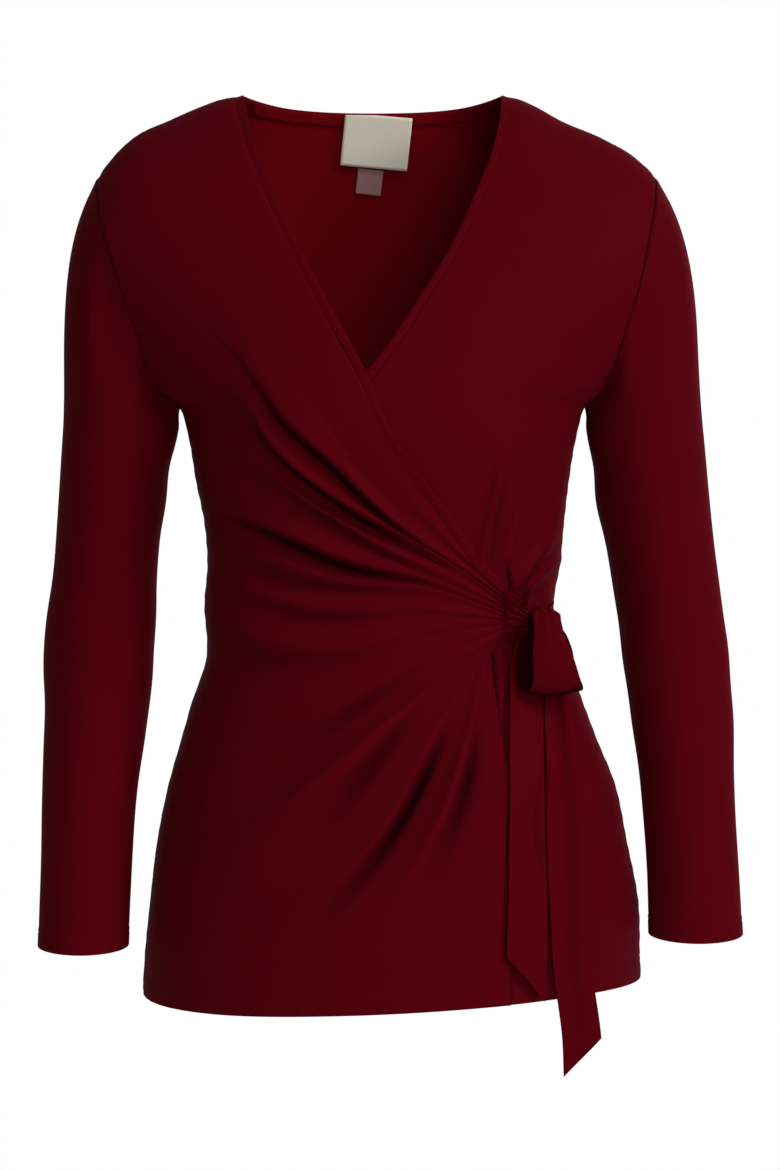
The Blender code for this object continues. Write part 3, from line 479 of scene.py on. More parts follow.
def grid_cloth(
    name, us, vs, place, outwards=towards, wall=JERSEY, weld=False, finish=JERSEY_CLOTH, painted_shade=None
):
    """A grid of cloth with a wall. place(u, v) gives its points in mm, and painted_shade(u, v)
    how much painted shade darkens it, 0 to 1."""
    shape = bmesh.new()
    bmesh.ops.create_grid(shape, x_segments=len(us) - 1, y_segments=len(vs) - 1, size=1)
    flat = np.array([v.co[:2] for v in shape.verts])
    column = np.rint((flat[:, 0] + 1) / 2 * (len(us) - 1)).astype(int)
    row = np.rint((flat[:, 1] + 1) / 2 * (len(vs) - 1)).astype(int)
    us, vs = np.asarray(us)[column], np.asarray(vs)[row]
    for vertex, point in zip(shape.verts, place(us, vs) * MM):
        vertex.co = point
    if painted_shade:
        layer = shape.verts.layers.float.new("painted_shade")
        for vertex, painted_shade_share in zip(shape.verts, painted_shade(us, vs)):
            vertex[layer] = painted_shade_share
    if weld:
        bmesh.ops.remove_doubles(shape, verts=shape.verts, dist=0.00002)
    shape.faces.ensure_lookup_table()
    shape.normal_update()
    middle = shape.faces[len(shape.faces) // 2]
    if middle.normal.dot(outwards(middle.calc_center_median())) < 0:
        bmesh.ops.reverse_faces(shape, faces=shape.faces)
    # Inner faces take the reverse, whose lighter colour is painted light
    reverse = JERSEY_REVERSE_PAINTED_LIGHT if finish == JERSEY_CLOTH else finish
    piece = finished(name, shape, finish, reverse)
    if wall:
        solid = piece.modifiers.new("wall", "SOLIDIFY")
        solid.material_offset = 1
        solid.thickness = wall * MM
        solid.offset = -1
        solid.use_even_offset = True
        solid.thickness_clamp = 1.5
    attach(piece, "root")
    return piece


SPUN_THREAD = knitted_jersey("polyester_thread", "#5a0812", "#6e0c1a", "#d04060", 0.05)


# Beads of thread: from one to the next, and the length and thickness of each
STITCH = {"pitch": 3.3, "long": 2.3, "thick": 0.42}


def reach_along(points):
    """How far along a line each of its points lies."""
    return np.concatenate([[0], np.cumsum(np.linalg.norm(np.diff(points, axis=0), axis=1))])


def stitches(name, rows):
    """Needle rows. Each row is (points, outward normals) along the cloth, and each stitch is one
    small bead of thread that lies in it."""
    long, thick = STITCH["long"] * MM, STITCH["thick"] * MM
    shape = bmesh.new()
    for line, normals in rows:
        reach = reach_along(line)
        at = np.arange(STITCH["pitch"] / 2, reach[-1], STITCH["pitch"])
        spot, ahead, behind = (
            beside(*(np.interp(at + step, reach, c) for c in line.T)) for step in (0, 0.5, -0.5)
        )
        square = beside(*(np.interp(at, reach, c) for c in normals.T))
        for here, run, up in zip(spot, ahead - behind, square):
            run = Vector(run).normalized()
            across = Vector(up).cross(run).normalized()
            turn = Matrix((run, across, run.cross(across))).transposed().to_4x4()
            size = Matrix.Diagonal((long, thick, thick, 1))
            lie = Matrix.Translation(Vector(here) * MM) @ turn @ size
            bmesh.ops.create_icosphere(shape, subdivisions=1, radius=0.5, matrix=lie)
    piece = finished(name, shape, SPUN_THREAD)
    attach(piece, "root")


def seam_row(surface, us, vs, middle=(0, 0)):
    """A needle row on a surface, with normals that point away from an upright axis."""
    here = surface(us, vs)
    wide = surface(us + 0.001, vs) - surface(us - 0.001, vs)
    down = surface(us, vs + 0.001) - surface(us, vs - 0.001)
    out = unit(np.cross(wide, down))
    away = np.sum(out[:, :2] * (here[:, :2] - np.array(middle)), axis=1)
    return here, out * np.sign(away)[:, None]


def back_top(s):
    """The back's upper edge: shoulder seam, neckline, shoulder seam."""
    start, end = BACK_NECK_SHARE
    along_neck = np.clip((s - start) / (end - start), 0, 1)
    xs = BACK_NECK["x"][0] + (BACK_NECK["x"][-1] - BACK_NECK["x"][0]) * along_neck
    drops = through(xs, BACK_NECK["x"], BACK_NECK["drop"])
    neck = beside(across_at(xs, drops, BACK), drops)
    right = seam_shoulder(1 - np.clip(s / start, 0, 1), RIGHT, BACK, BACK_NECK["x"][0])
    left = seam_shoulder(np.clip((s - end) / (1 - end), 0, 1), LEFT, BACK, BACK_NECK["x"][-1])
    return np.where((s < start)[..., None], right, np.where((s > end)[..., None], left, neck))


def back_lift(across, drop):
    return panel_lift(across, form(across, drop, BACK)[..., 0], drop, BACK, BACK_FOLDS)


def back_panel(u, v):
    """The back. u runs from the wearer's right to the left, v down to the hem."""
    place = patch(
        u,
        v,
        lambda t: side_edge(t, RIGHT, BACK),
        lambda t: side_edge(t, LEFT, BACK),
        back_top,
        lambda s: hem_edge(2 * s - 1, BACK),
    )
    across, drop = place[..., 0], place[..., 1]
    seamed = seam_dip(np.minimum(u, 1 - u) * BACK_WIDTH, drop)
    return cloth(across, drop, BACK, back_lift(across, drop) + seamed)


back = grid_cloth(
    "back_panel",
    stops((0, 0.02, 9), (0.02, 0.98, 132), (0.98, 1, 9)),
    stops((0, 0.002, 2), (0.002, 0.08, 18), (0.08, 0.94, 120), (0.94, 1, 28)),
    back_panel,
)
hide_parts("back")


def back_at(across, up):
    """A place on the back, up from its hem."""
    drop = hem(across, BACK) - up
    return cloth(across, drop, BACK, back_lift(across, drop))


around = np.linspace(-0.995, 0.995, 240)
stitches("back_hem_stitches", [seam_row(back_at, around, r) for r in HEM_ROWS])


# ---- Under front ----
# The wearer's left front. It runs on under the top front to the right side seam, so its neckline
# edge goes out of sight at the crossing. The tie draws it up from the left side seam.

LAP = 2.8  # outer face of the under front to outer face of the top front
BAND = 6.0  # finished width of the stitched neckline edges
UNDER_WAIST = 0.5  # share of the under front's height at which its neckline meets the side seam
UNDER_WIDTH = 180  # of the panel from its neckline to the armhole
HIDDEN_INSET = 0.012  # its hidden side edge stops this short of the side seam
HIDDEN_SINK = 4.0  # its hidden part lies this much deeper, clear of the folds over it
# The line behind which the top front covers it
LAPPED_EDGE = table(
    "drop x",
    (200, -6), (236, 9), (300, 54), (343, 80), (388, 73), (415, 75), (450, 81), (523, 84),
    (592, 87),
)
# The finished neckline edges, from the neck point down; the left one goes on under the top front
NECKLINE = {
    RIGHT: table(
        "x drop",
        (-93, 0), (-90, 13), (-76, 58), (-59, 97), (-28, 159), (-6, 200), (9, 236), (35, 274),
        (54, 300), (71, 325.5), (90, 344),
    ),
    LEFT: table(
        "x drop",
        (88, 0), (86, 20), (80, 44), (67, 77), (50, 114), (31, 145), (13, 173), (-6, 199),
        (-24, 224), (-45, 254), (-70, 288), (-95, 320), (-112, 346),
    ),
}
PULLS = table(
    "x0 drop0 x1 drop1 proud width",
    (66, 344, 90, 236, 5.2, 4.2),
    (80, 350, 101, 270, 4.6, 4.0),
    (89, 350, 128, 300, 5.4, 4.2),
    (94, 352, 132, 318, 3.4, 3.4),
    (104, 420, 116, 570, 3.5, 8),
    (146, 456, 162, 590, 3.5, 10),
    (128, 372, 150, 430, 2.5, 6),
)
# Painted shade where the pulls close on each other beside the gathers and beside the top front's free
# edge, and how nearly black it is
SLIT_PAINTED_SHADE = table(
    "x0 drop0 x1 drop1 dark width",
    (93, 350, 88, 322, 1.0, 1.7),
    (76, 345, 88, 262, 0.35, 3.0),
    (96, 349, 122, 312, 0.4, 2.2),
    (79, 372, 84, 436, 1.0, 1.6),
    (80, 400, 88.5, 500, 1.0, 1.6),
    (85, 452, 90.5, 580, 0.9, 1.5),
    (88, 523, 92, 640, 0.9, 1.4),
)


def along(t, points):
    """The point a share t of the way along a smooth line through the given points."""
    points = np.asarray(points, float)
    reach = reach_along(points)
    return beside(*(through(t * reach[-1], reach, c) for c in points.T))


def front_layer(across, drop, lift, under=False):
    """Points of a front. The top one rises over the form towards its free edges, the under one
    lies LAP below it, and both come down to the form at the shoulder seams."""
    x = form(across, drop, FRONT)[..., 0]
    proud = LAP * (across + 1) / 2 - (LAP if under else 0) + lift
    return cloth(across, drop, FRONT, proud * crown(x, drop))


def neckline(t, hand, inset):
    """The front neckline, t = 0 at the neck point, moved in from the edge by inset."""
    points = beside(*NECKLINE[hand].values())
    here = along(t, points)
    ahead = along(np.minimum(t + 0.004, 1), points) - along(np.maximum(t - 0.004, 0), points)
    square = unit(beside(-ahead[..., 1], ahead[..., 0]) * -hand)
    here = here + square * np.asarray(inset)[..., None]
    drop = np.maximum(here[..., 1], shoulder_line(here[..., 0]))
    return beside(across_at(here[..., 0], drop, FRONT), drop)


def under_west(t):
    neck = neckline(np.clip(t / UNDER_WAIST, 0, 1), LEFT, BAND)
    top = neckline(np.ones(1), LEFT, BAND)[0]
    low = np.clip((t - UNDER_WAIST) / (1 - UNDER_WAIST), 0, 1)
    seam = -1 + HIDDEN_INSET
    across = top[0] + (seam - top[0]) * smooth(low / 0.12)
    drop = top[1] + (hem(seam, FRONT) - top[1]) * low
    return np.where((t < UNDER_WAIST)[..., None], neck, beside(across, drop))


def hidden_sink(x, drop):
    """How much deeper the under front lies where the top front covers it."""
    behind = through(drop, LAPPED_EDGE["drop"], LAPPED_EDGE["x"]) - x
    return HIDDEN_SINK * smooth((behind - 2) / 20)


def under_lift(across, drop):
    """The under front's own lift, sunk where the top front lies over it."""
    x = form(across, drop, FRONT)[..., 0]
    return panel_lift(across, x, drop, FRONT, PULLS) - hidden_sink(x, drop)


def under_front(u, v):
    """The under front. u runs from its neckline to its armhole, v down to the hem."""
    neck_x = float(form(*neckline(np.zeros(1), LEFT, BAND)[0], FRONT)[0])
    place = patch(
        u,
        v,
        under_west,
        lambda t: side_edge(t, LEFT, FRONT),
        lambda s: seam_shoulder(s, LEFT, FRONT, neck_x),
        lambda s: hem_edge(-1 + HIDDEN_INSET + (2 - HIDDEN_INSET) * s, FRONT),
    )
    across, drop = place[..., 0], place[..., 1]
    lift = under_lift(across, drop) + seam_dip((1 - u) * UNDER_WIDTH, drop)
    return front_layer(across, drop, lift, under=True)


def under_painted_shade(u, v):
    """How much painted shade darkens the under front, from where its points lie."""
    point = under_front(u, v)
    return np.clip(folds_at(point[:, 0], -point[:, 2], SLIT_PAINTED_SHADE), 0, 1)


under = grid_cloth(
    "under_front_panel",
    stops((0, 0.96, 150), (0.96, 1, 10)),
    stops((0, 0.002, 2), (0.002, 0.1, 20), (0.1, 0.94, 150), (0.94, 1, 28)),
    under_front,
    painted_shade=under_painted_shade,
)
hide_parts("front_left")


# ---- Top front ----
# The wearer's right front, cut on the slant. Its waist end is gathered into the tie, so folds
# fan out from there over the chest, waist and skirt, and die out before the seams.

# The gathered edge of the top front, where its folds meet
GATHER_TOP = (86.8, 349)
GATHER_END = (86, 378)

# The top front's folds, from its neckline round to its free front edge. Each is a line on the
# cloth: "gather" is its place along the gathered edge, "edge" where it meets the far edge
# (0-1 shoulder seam, 1-2 armhole, 2-3 side seam, 3-4 hem), "proud" its height in mm and "fades"
# how far along it dies out. Points are (x, drop).
FOLDS = (
    # name, gather, edge, proud, fades, points
    ("neckline", 0.00, 0.00, 0.0, 1.0, ()),
    ("chest", 0.04, 0.50, 0.6, 0.6, ((61, 325), (1, 255), (-40, 196), (-76, 124))),
    ("shoulder", 0.08, 1.00, 1.2, 0.6, ((52, 321), (-20, 252), (-67, 182), (-129, 104))),
    ("first_crest", 0.13, 1.42, 6.0, 0.84, ((13, 298), (-21, 264), (-62, 225), (-96, 182))),
    ("first_trough", 0.17, 1.47, -2.5, 0.84, ((7, 302), (-31, 266), (-70, 229), (-102, 183))),
    ("second_crest", 0.22, 1.61, 7.5, 0.86, ((9, 302), (-17, 286), (-68, 245), (-96, 209))),
    ("second_trough", 0.27, 1.75, -3.0, 0.86, ((17, 316), (-13, 299), (-62, 263), (-101, 225))),
    ("underarm", 0.32, 2.00, 4.0, 0.8, ((41, 332), (6, 316), (-35, 291), (-101, 244))),
    ("third_trough", 0.37, 2.10, -1.4, 0.78, ((6, 324), (-37, 298), (-83, 270), (-112, 255))),
    ("fourth_crest", 0.42, 2.16, 6.5, 0.9, ((36, 338), (-8, 327), (-70, 301), (-104, 288))),
    ("fourth_trough", 0.46, 2.18, -2.6, 0.9, ((15, 340), (-16, 334), (-73, 311), (-103, 298))),
    ("fifth_crest", 0.51, 2.21, 3.6, 0.9, ((37, 345), (-30, 338), (-70, 323), (-104, 309))),
    ("fifth_trough", 0.56, 2.24, -0.8, 0.9, ((37, 353), (-30, 348), (-79, 338), (-102, 326))),
    ("sixth_crest", 0.60, 2.27, 3.4, 0.85, ((30, 358), (-40, 357), (-75, 349), (-102, 336))),
    ("sixth_trough", 0.64, 2.31, -0.6, 0.85, ((30, 365), (-24, 370), (-73, 361), (-103, 348))),
    ("seventh_crest", 0.68, 2.36, 4.0, 0.95, ((30, 372), (-30, 385), (-74, 380), (-105, 366))),
    ("seventh_trough", 0.73, 2.41, 0.0, 0.93, ((44, 378), (-11, 396), (-74, 399), (-105, 387))),
    ("waist", 0.78, 2.56, 3.4, 0.6, ((56, 381), (10, 403), (-51, 432), (-100, 450))),
    ("long_trough", 0.84, 2.70, -2.0, 0.7, ((60, 386), (10, 417), (-62, 464), (-104, 488))),
    ("long_crest", 0.90, 2.81, 9.0, 0.78, ((62, 391), (15, 430), (-38, 473), (-110, 525))),
    ("hem_corner", 0.93, 3.00, 1.0, 0.6, ((65, 392), (34, 428), (-37, 515), (-92, 571))),
    ("skirt_crest", 0.95, 3.40, 6.5, 0.85, ((68, 394), (42, 436), (-8, 521), (-58, 574))),
    ("skirt_trough", 0.965, 3.49, -1.6, 0.85, ((70, 396), (50, 446), (4, 531), (-40, 585))),
    ("low_crest", 0.98, 3.60, 6.0, 0.85, ((72, 397), (60, 446), (24, 533), (-22, 592))),
    ("low_trough", 0.99, 3.76, -1.2, 0.75, ((75, 394), (72, 440), (50, 530), (28, 592))),
    ("front_edge", 1.00, 4.00, 1.2, 0.8, ((78, 390), (80, 418), (85, 452), (88, 523), (90, 592))),
)
GATHERED, RAISED = 0.12, 0.42  # shares of each line, out from the gathers, between which it rises
HEM_CORNER_DROP = 612  # where the free front edge meets the hem
TOP_REACH = 290  # of the longest fold lines
TROUGH_PAINTED_SHADE = 0.97  # how nearly black the painted shade in the deepest troughs is
SHADED_FALL = (3, 8)  # mm from crest to trough: where that painted shade begins, and where it is full
SHADE_BEFORE = 0.2  # it is darkest this share of a step before the trough line
SHADE_WIDTH = (0.5, 0.3)  # and this wide before and behind there
PLEAT, PLEAT_VALLEY = 1.2, -0.3  # heights of the small pleats at the gathered edge
FADING = 0.35  # share of a line over which its fold dies out
RISE_BEND = 1.8  # a fold rises late to its crest,
FALL_START, FALL_SHARE = 0.04, 0.8  # and falls from it at once


NECK_X = float(form(*neckline(np.zeros(1), RIGHT, BAND)[0], FRONT)[0])
GATHER, EDGE, PROUD, FADES = (np.array([fold[k] for fold in FOLDS]) for k in (1, 2, 3, 4))
FREE_EDGE_X, FREE_EDGE_DROP = FOLDS[-1][-1][-1]
FREE_EDGE_LEAN = 1  # the free edge goes this much further out on its way to the hem
END_ACROSS = float(across_at(FREE_EDGE_X + FREE_EDGE_LEAN, FREE_EDGE_DROP, FRONT))
ACROSS_SCALE = np.array([150, 1])  # mm per unit across, so that both columns count alike


def top_edge(w):
    """The far edge of the top front, by the fold table's edge number."""
    shoulder = seam_shoulder(np.clip(w, 0, 1), RIGHT, FRONT, NECK_X)
    arm_seam = seam_armhole(np.clip(w - 1, 0, 1), RIGHT, FRONT)
    side = beside(-1, UNDERARM + (hem(-1, FRONT) - UNDERARM) * (w - 2))
    low = hem_edge(-1 + (END_ACROSS + 1) * np.clip(w - 3, 0, 1), FRONT)
    pick = np.clip(np.ceil(w) - 1, 0, 3).astype(int)[:, None]
    return np.select([pick == 0, pick == 1, pick == 2, pick == 3], [shoulder, arm_seam, side, low])


def line_points(gather, edge, points):
    """The points (across, drop) that a fold line runs through, scaled to mm."""
    start = [a + (b - a) * gather for a, b in zip(GATHER_TOP, GATHER_END)]
    xs, drops = np.array([start, *points], float).T
    inner = beside(across_at(xs, drops, FRONT), drops)
    return np.concatenate([inner, top_edge(np.array([edge]))]) * ACROSS_SCALE


LINES = [line_points(fold[1], fold[2], fold[5]) for fold in FOLDS[1:]]
FAR_ENDS = [line[-1] / ACROSS_SCALE for line in LINES]
LINE_ENDS = np.concatenate([neckline(np.zeros(1), RIGHT, BAND), FAR_ENDS])


def lines_at(v):
    """Every fold line's place at v, from the gathers, v = 0, to the far edge, v = 1."""
    neck = neckline(1 - v, RIGHT, BAND)
    return np.array([neck] + [along(v, line) / ACROSS_SCALE for line in LINES])


def top_place(u, v):
    """Place (across, drop) and fold height on the top front. u counts fold lines."""
    i = np.clip(np.floor(u).astype(int), 0, len(FOLDS) - 2)
    share = u - i

    def mixed(values):
        """What lies between each point's two lines."""
        return (values[i].T * (1 - share) + values[i + 1].T * share).T

    here = np.arange(len(u))
    stations, station = np.unique(v, return_inverse=True)
    rows = lines_at(stations)[:, station]
    place = rows[i, here] * (1 - share)[:, None] + rows[i + 1, here] * share[:, None]
    place = place + (top_edge(mixed(EDGE)) - mixed(LINE_ENDS)) * v[:, None] ** 3
    build = smooth((v - GATHERED) / (RAISED - GATHERED))
    height = PROUD[:, None] * smooth((FADES[:, None] - v) / FADING) * build
    height += np.where(np.arange(len(FOLDS)) % 2 == 1, PLEAT, PLEAT_VALLEY)[:, None] * (1 - build)
    near, far = height[i, here], height[i + 1, here]
    turn = np.where(far > near, share**RISE_BEND, smooth((share - FALL_START) / FALL_SHARE))
    across, drop = place[:, 0], place[:, 1]
    x = form(across, drop, FRONT)[..., 0]
    slack = smooth((v - 0.3) / 0.4) * (1 - smooth((v - 0.9) / 0.1))
    lift = near * (1 - turn) + far * turn + ease(across, x, drop, FRONT) * slack
    seamed = np.where(EDGE[i] < 3, seam_dip((1 - v) * TOP_REACH, drop), 0)
    return across, drop, lift + seamed + turned_hem(hem(across, FRONT) - drop)


def top_front(u, v):
    """The top front. u counts fold lines, v runs out from the gathers."""
    return front_layer(*top_place(u, v))


def painted_trough_shade(u, v):
    """Painted shade in each trough, for the shadow of the face that falls into it and hangs over it."""
    i = np.clip(np.floor(u + (0.5 + SHADE_BEFORE)).astype(int), 1, len(FOLDS) - 1)
    least, most = SHADED_FALL
    fall = np.clip((PROUD[i - 1] - PROUD[i] - least) / (most - least), 0, 1)
    off = u - i + SHADE_BEFORE
    near = bell(off, np.where(off < 0, *SHADE_WIDTH))
    window = smooth((v - 0.2) / 0.2) * smooth((FADES[i] - 0.02 - v) / 0.34)
    return TROUGH_PAINTED_SHADE * fall * near * window


fine = [
    stops((i, i + 1, 12 if fold[3] - after[3] > 6 else 8))
    for i, (fold, after) in enumerate(zip(FOLDS, FOLDS[1:]))
]
top = grid_cloth(
    "top_front_panel",
    np.unique(np.concatenate(fine)),
    stops((0, 0.0008, 1), (0.0008, 0.2, 50), (0.2, 0.96, 130), (0.96, 1, 16)),
    top_front,
    painted_shade=painted_trough_shade,
)
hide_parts("front_right")


def under_at(across, up):
    """A place on the under front, up from its hem."""
    drop = hem(across, FRONT) - up
    return front_layer(across, drop, under_lift(across, drop), under=True)


def top_at(across, up):
    """A place on the top front, up from its hem."""
    return front_layer(across, hem(across, FRONT) - up, turned_hem(up))


FRONT_EDGE_ROW = 4.8  # the free edge's needle row, in from the edge


def front_edge_at(off, v):
    """A place on the top front, off from its free front edge."""
    last = np.full(len(v), len(FOLDS) - 1.0)
    gap = top_front(last, v) - top_front(last - 1, v)
    return top_front(last - np.minimum(off / np.linalg.norm(gap, axis=1), 1.5), v)


corner = float(across_at(FREE_EDGE_X, HEM_CORNER_DROP, FRONT))
right_part = np.linspace(-0.995, corner - 0.01, 160)
left_part = np.linspace(corner + 0.02, 0.995, 90)
down_edge = np.linspace(0.07, 0.985, 150)
rows = [seam_row(top_at, right_part, r) for r in HEM_ROWS]
rows += [seam_row(under_at, left_part, r) for r in HEM_ROWS]
rows.append(seam_row(front_edge_at, FRONT_EDGE_ROW, down_edge))
stitches("front_hem_stitches", rows)


# ---- Sleeves ----
# Long set-in sleeves, each one piece of jersey closed by a seam at the underarm. The cap is sewn
# into the armhole, and the cuff is turned up and coverstitched.

# Sleeves, from the biceps down: middle and half width at each side, forward set, half depth
SLEEVE = table(
    "drop right right_half left left_half forward half_depth",
    (235, -179.5, 40.0, 188.5, 40.5, -4, 46),
    (283, -184.8, 37.4, 194.6, 39.6, -6, 43),
    (340, -190.6, 36.8, 203.0, 37.5, -8, 41),
    (382, -194.0, 39.0, 209.0, 37.4, -8, 40),
    (424, -195.5, 37.0, 213.0, 36.4, -3, 39),
    (480, -199.2, 33.4, 217.4, 32.8, 7, 36),
    (536, -201.2, 31.8, 220.2, 32.0, 19, 34),
    (596, -202.8, 31.2, 222.0, 32.6, 31, 33),
)
CUFF_DROP = {RIGHT: 592, LEFT: 584}
CUFF_TILT = 5  # the cuff's front edge is this much lower than its back edge, each way
CUFF_TURN = 12.0
CUFF_ROWS = (9.2, 12.2)
CAP_ROUND = 60  # mm of armhole to a radian
# The way the cap leaves its seam, and how much more or less so at the top and in front
CAP_OUT, CAP_OUT_TOP = 0.52, 0.26
CAP_DOWN, CAP_DOWN_TOP = 0.78, 0.12
CAP_FORWARD = 0.16


def sleeve_ring(turn, drop, hand, proud=0.0):
    """A point round the arm. turn is 0 outside, a quarter in front, a half inside."""
    side = "right" if hand == RIGHT else "left"
    at = read(SLEEVE, SLEEVE["drop"], drop)
    half, deep = at[side + "_half"] + proud, at["half_depth"] + proud
    x, out = at[side] + hand * half * np.cos(turn), at["forward"] + deep * np.sin(turn)
    return beside(x, -out, -drop)


def arm_slack(turn, drop, hand):
    """Soft wrinkles that slant round the arm, deepest in the bend of the elbow."""
    bend = bell(drop - 395, 62) * np.clip(np.sin(turn - 0.4), -0.3, 1)
    wrinkle = 0.9 * bend * np.sin(drop / 8.5 + 2.2 * np.cos(turn - 0.6) + hand)
    top_drag = bell(drop - 262, 46) * np.clip(-np.cos(turn), 0, 1)
    drag = 1.0 * top_drag * np.sin(drop / 9 - 2.5 * np.sin(turn) + 0.7)
    low = 0.4 * np.sin(drop / 23 + 1.4 * np.sin(turn + hand)) * np.sin(turn * 2 + drop / 60)
    return wrinkle + drag + low


def sleeve(hand):
    """A set-in sleeve: the cap leaves the armhole seam and turns down into the arm."""
    start_drop = SLEEVE["drop"][0]

    def place(u, v):
        turn = u * 2 * math.pi
        front = turn <= math.pi
        t = np.where(front, turn, 2 * math.pi - turn) / math.pi
        seams = {side: seam_armhole(t, hand, side) for side in (FRONT, BACK)}
        at_seam = {side: form(*seams[side].T, side) for side in (FRONT, BACK)}
        meet = (bell(t, 0.006) + bell(1 - t, 0.006))[:, None]

        def joined(sides):
            """Each side's own value, and their mean where the front and the back meet."""
            own = np.where(front[:, None], sides[FRONT], sides[BACK])
            return own + ((sides[FRONT] + sides[BACK]) / 2 - own) * meet

        start = joined(at_seam)
        ring = sleeve_ring(turn, start_drop, hand)
        span = np.linalg.norm(ring - start, axis=1)[:, None]
        cos = np.cos(turn)
        leave = beside(
            hand * (CAP_OUT + CAP_OUT_TOP * cos),
            -CAP_FORWARD * np.sin(turn),
            CAP_DOWN_TOP * cos - CAP_DOWN,
        )
        tangent = smooth((1 + cos) / 1.2)[:, None]
        off_seam = {side: cloth(*seams[side].T, side, 1.0) - at_seam[side] for side in seams}
        facing = unit(joined(off_seam))
        leave = unit(leave - facing * np.sum(leave * facing, axis=1)[:, None] * tangent)
        arrive = unit(sleeve_ring(turn, start_drop + 6.0, hand) - ring)
        c = np.clip(v, 0, 1)[:, None]
        cap = (
            start * (1 + 2 * c) * (1 - c) ** 2
            + ring * c * c * (3 - 2 * c)
            + span * (leave * c * (1 - c) ** 2 - arrive * c * c * (1 - c))
        )
        round_arm = beside(hand * cos, -np.sin(turn), 0)
        slack = arm_slack(turn, -cap[:, 2], hand) * smooth((v - 0.15) / 0.6)
        slack = slack + seam_dip(v * span[:, 0], turn * CAP_ROUND)
        cap = cap + round_arm * slack[:, None]
        end = CUFF_DROP[hand] + CUFF_TILT * np.sin(turn)
        drop = start_drop + (end - start_drop) * np.clip(v - 1, 0, 1)
        slack = arm_slack(turn, drop, hand) * smooth((end - drop) / 40)
        arm = sleeve_ring(turn, drop, hand, slack + turned_hem(end - drop, CUFF_TURN, CUFF_ROWS))
        return np.where((v <= 1)[:, None], cap, arm)

    return place


for hand, side in ((RIGHT, "right"), (LEFT, "left")):
    arm_piece = grid_cloth(
        side + "_sleeve",
        even(97),
        stops((0, 0.05, 7), (0.05, 1, 56), (1, 1.95, 120), (1.95, 2, 26)),
        sleeve(hand),
        lambda p: Vector((p.x - hand * 0.19, p.y, 0)),
        weld=True,
        # Painted shade: a thin dark line along the armhole seam, for the seam's shadow
        painted_shade=lambda u, v: 0.6 * bell(v, 0.016),
    )
    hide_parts("sleeve_" + side)

    def cuff_at(turns, up):
        """A place on the cuff, up from its edge."""
        end = CUFF_DROP[hand] + CUFF_TILT * np.sin(turns * 2 * math.pi)
        return sleeve(hand)(turns, 2 - up / (end - SLEEVE["drop"][0]))

    around = np.linspace(0.001, 0.999, 200)
    stitches(
        "cuff_stitches_" + side, [seam_row(cuff_at, around, r, (hand * 0.2 / MM, 20)) for r in CUFF_ROWS]
    )


# ---- Neckline edges and tape ----
# Each front edge is turned in 6 mm and coverstitched. Inside the back neck, a tape covers the
# seam allowance.

NECK_ROW = 4.8  # the needle row, in from the edge
TAPE = 8.0
TAPE_INSET = 4  # the tape's ends stop this short of the neck points
TAPE_INSIDE = JERSEY + 0.9  # outer face of the back to outer face of the tape


def neck_edge(hand):
    """The turned edge of a front, a little proud of its panel and dipped at its needle rows."""

    def place(u, v):
        inset = u * BAND
        point = neckline(v, hand, inset)
        roll = 0.35 * np.sin(np.pi * np.clip(u, 0, 1)) ** 0.5
        row = 0.3 * bell(inset - NECK_ROW, 0.8)
        lift = roll - row
        if hand == LEFT:
            lift = lift - hidden_sink(form(*point.T, FRONT)[:, 0], point[:, 1])
        return front_layer(point[:, 0], point[:, 1], lift, under=hand == LEFT)

    return place


def inside_back(x, drop, inset):
    """A point on the inner side of the back."""
    drop = np.maximum(drop, through(x, BACK_NECK["x"], BACK_NECK["drop"]) + 0.3)
    return cloth(across_at(x, drop, BACK), drop, BACK, -inset)


def neck_tape(u, v):
    neck_x = BACK_NECK["x"]
    x = neck_x[0] + TAPE_INSET + (neck_x[-1] - neck_x[0] - 2 * TAPE_INSET) * u
    drop = through(x, neck_x, BACK_NECK["drop"]) + 0.5 + TAPE * v
    return inside_back(x, drop, TAPE_INSIDE)


for hand, side in ((RIGHT, "right"), (LEFT, "left")):
    edge = grid_cloth("neck_edge_" + side, even(11), even(221), neck_edge(hand))
    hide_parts("neckband_" + side)
    down_neck = np.linspace(0.004, 0.996, 200)
    needle = seam_row(neck_edge(hand), NECK_ROW / BAND, down_neck)
    stitches("neck_stitches_" + side, [needle])
tape = grid_cloth("neck_tape", even(81), even(7), neck_tape, wall=0.7)
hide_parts("neckband_back")


# ---- Labels ----
# A woven damask label hangs from the tape, with a printed care label under it. Both are bare.

LABEL = {"x": (-24, 24), "drop": (7, 43), "lean": 4, "inside": JERSEY + 3.2}
CARE_LABEL = {"x": (-14, 4), "drop": (44.5, 62), "lean": 2, "inside": JERSEY + 1.2}
DAMASK = knitted_jersey("woven_damask", "#d8cebd", "#e8e0d0", "#ffffff", 0.1)
SATIN = knitted_jersey("printed_satin", "#8a6766", "#9a7574", "#ffffff", 0.05)

for name, spec, node, slot, finish in (
    ("woven_neck_label", LABEL, "label", "woven_label", DAMASK),
    ("printed_care_label", CARE_LABEL, "care_label", "printed_label", SATIN),
):

    def place(u, v):
        (x0, x1), (high, low) = spec["x"], spec["drop"]
        x = x0 + (x1 - x0) * u - spec["lean"] * (v - 0.5)
        drop = high + (low - high) * v + spec["lean"] * (u - 0.5)
        return inside_back(x, drop, spec["inside"])

    label = grid_cloth(name, even(25), even(19), place, wall=0.4, finish=finish)
    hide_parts(node)


# ---- Tie ----
# The gathered end of the top front and a strap from the left side seam are knotted into a half
# bow. One loop and two ends cut to a point hang from the knot.

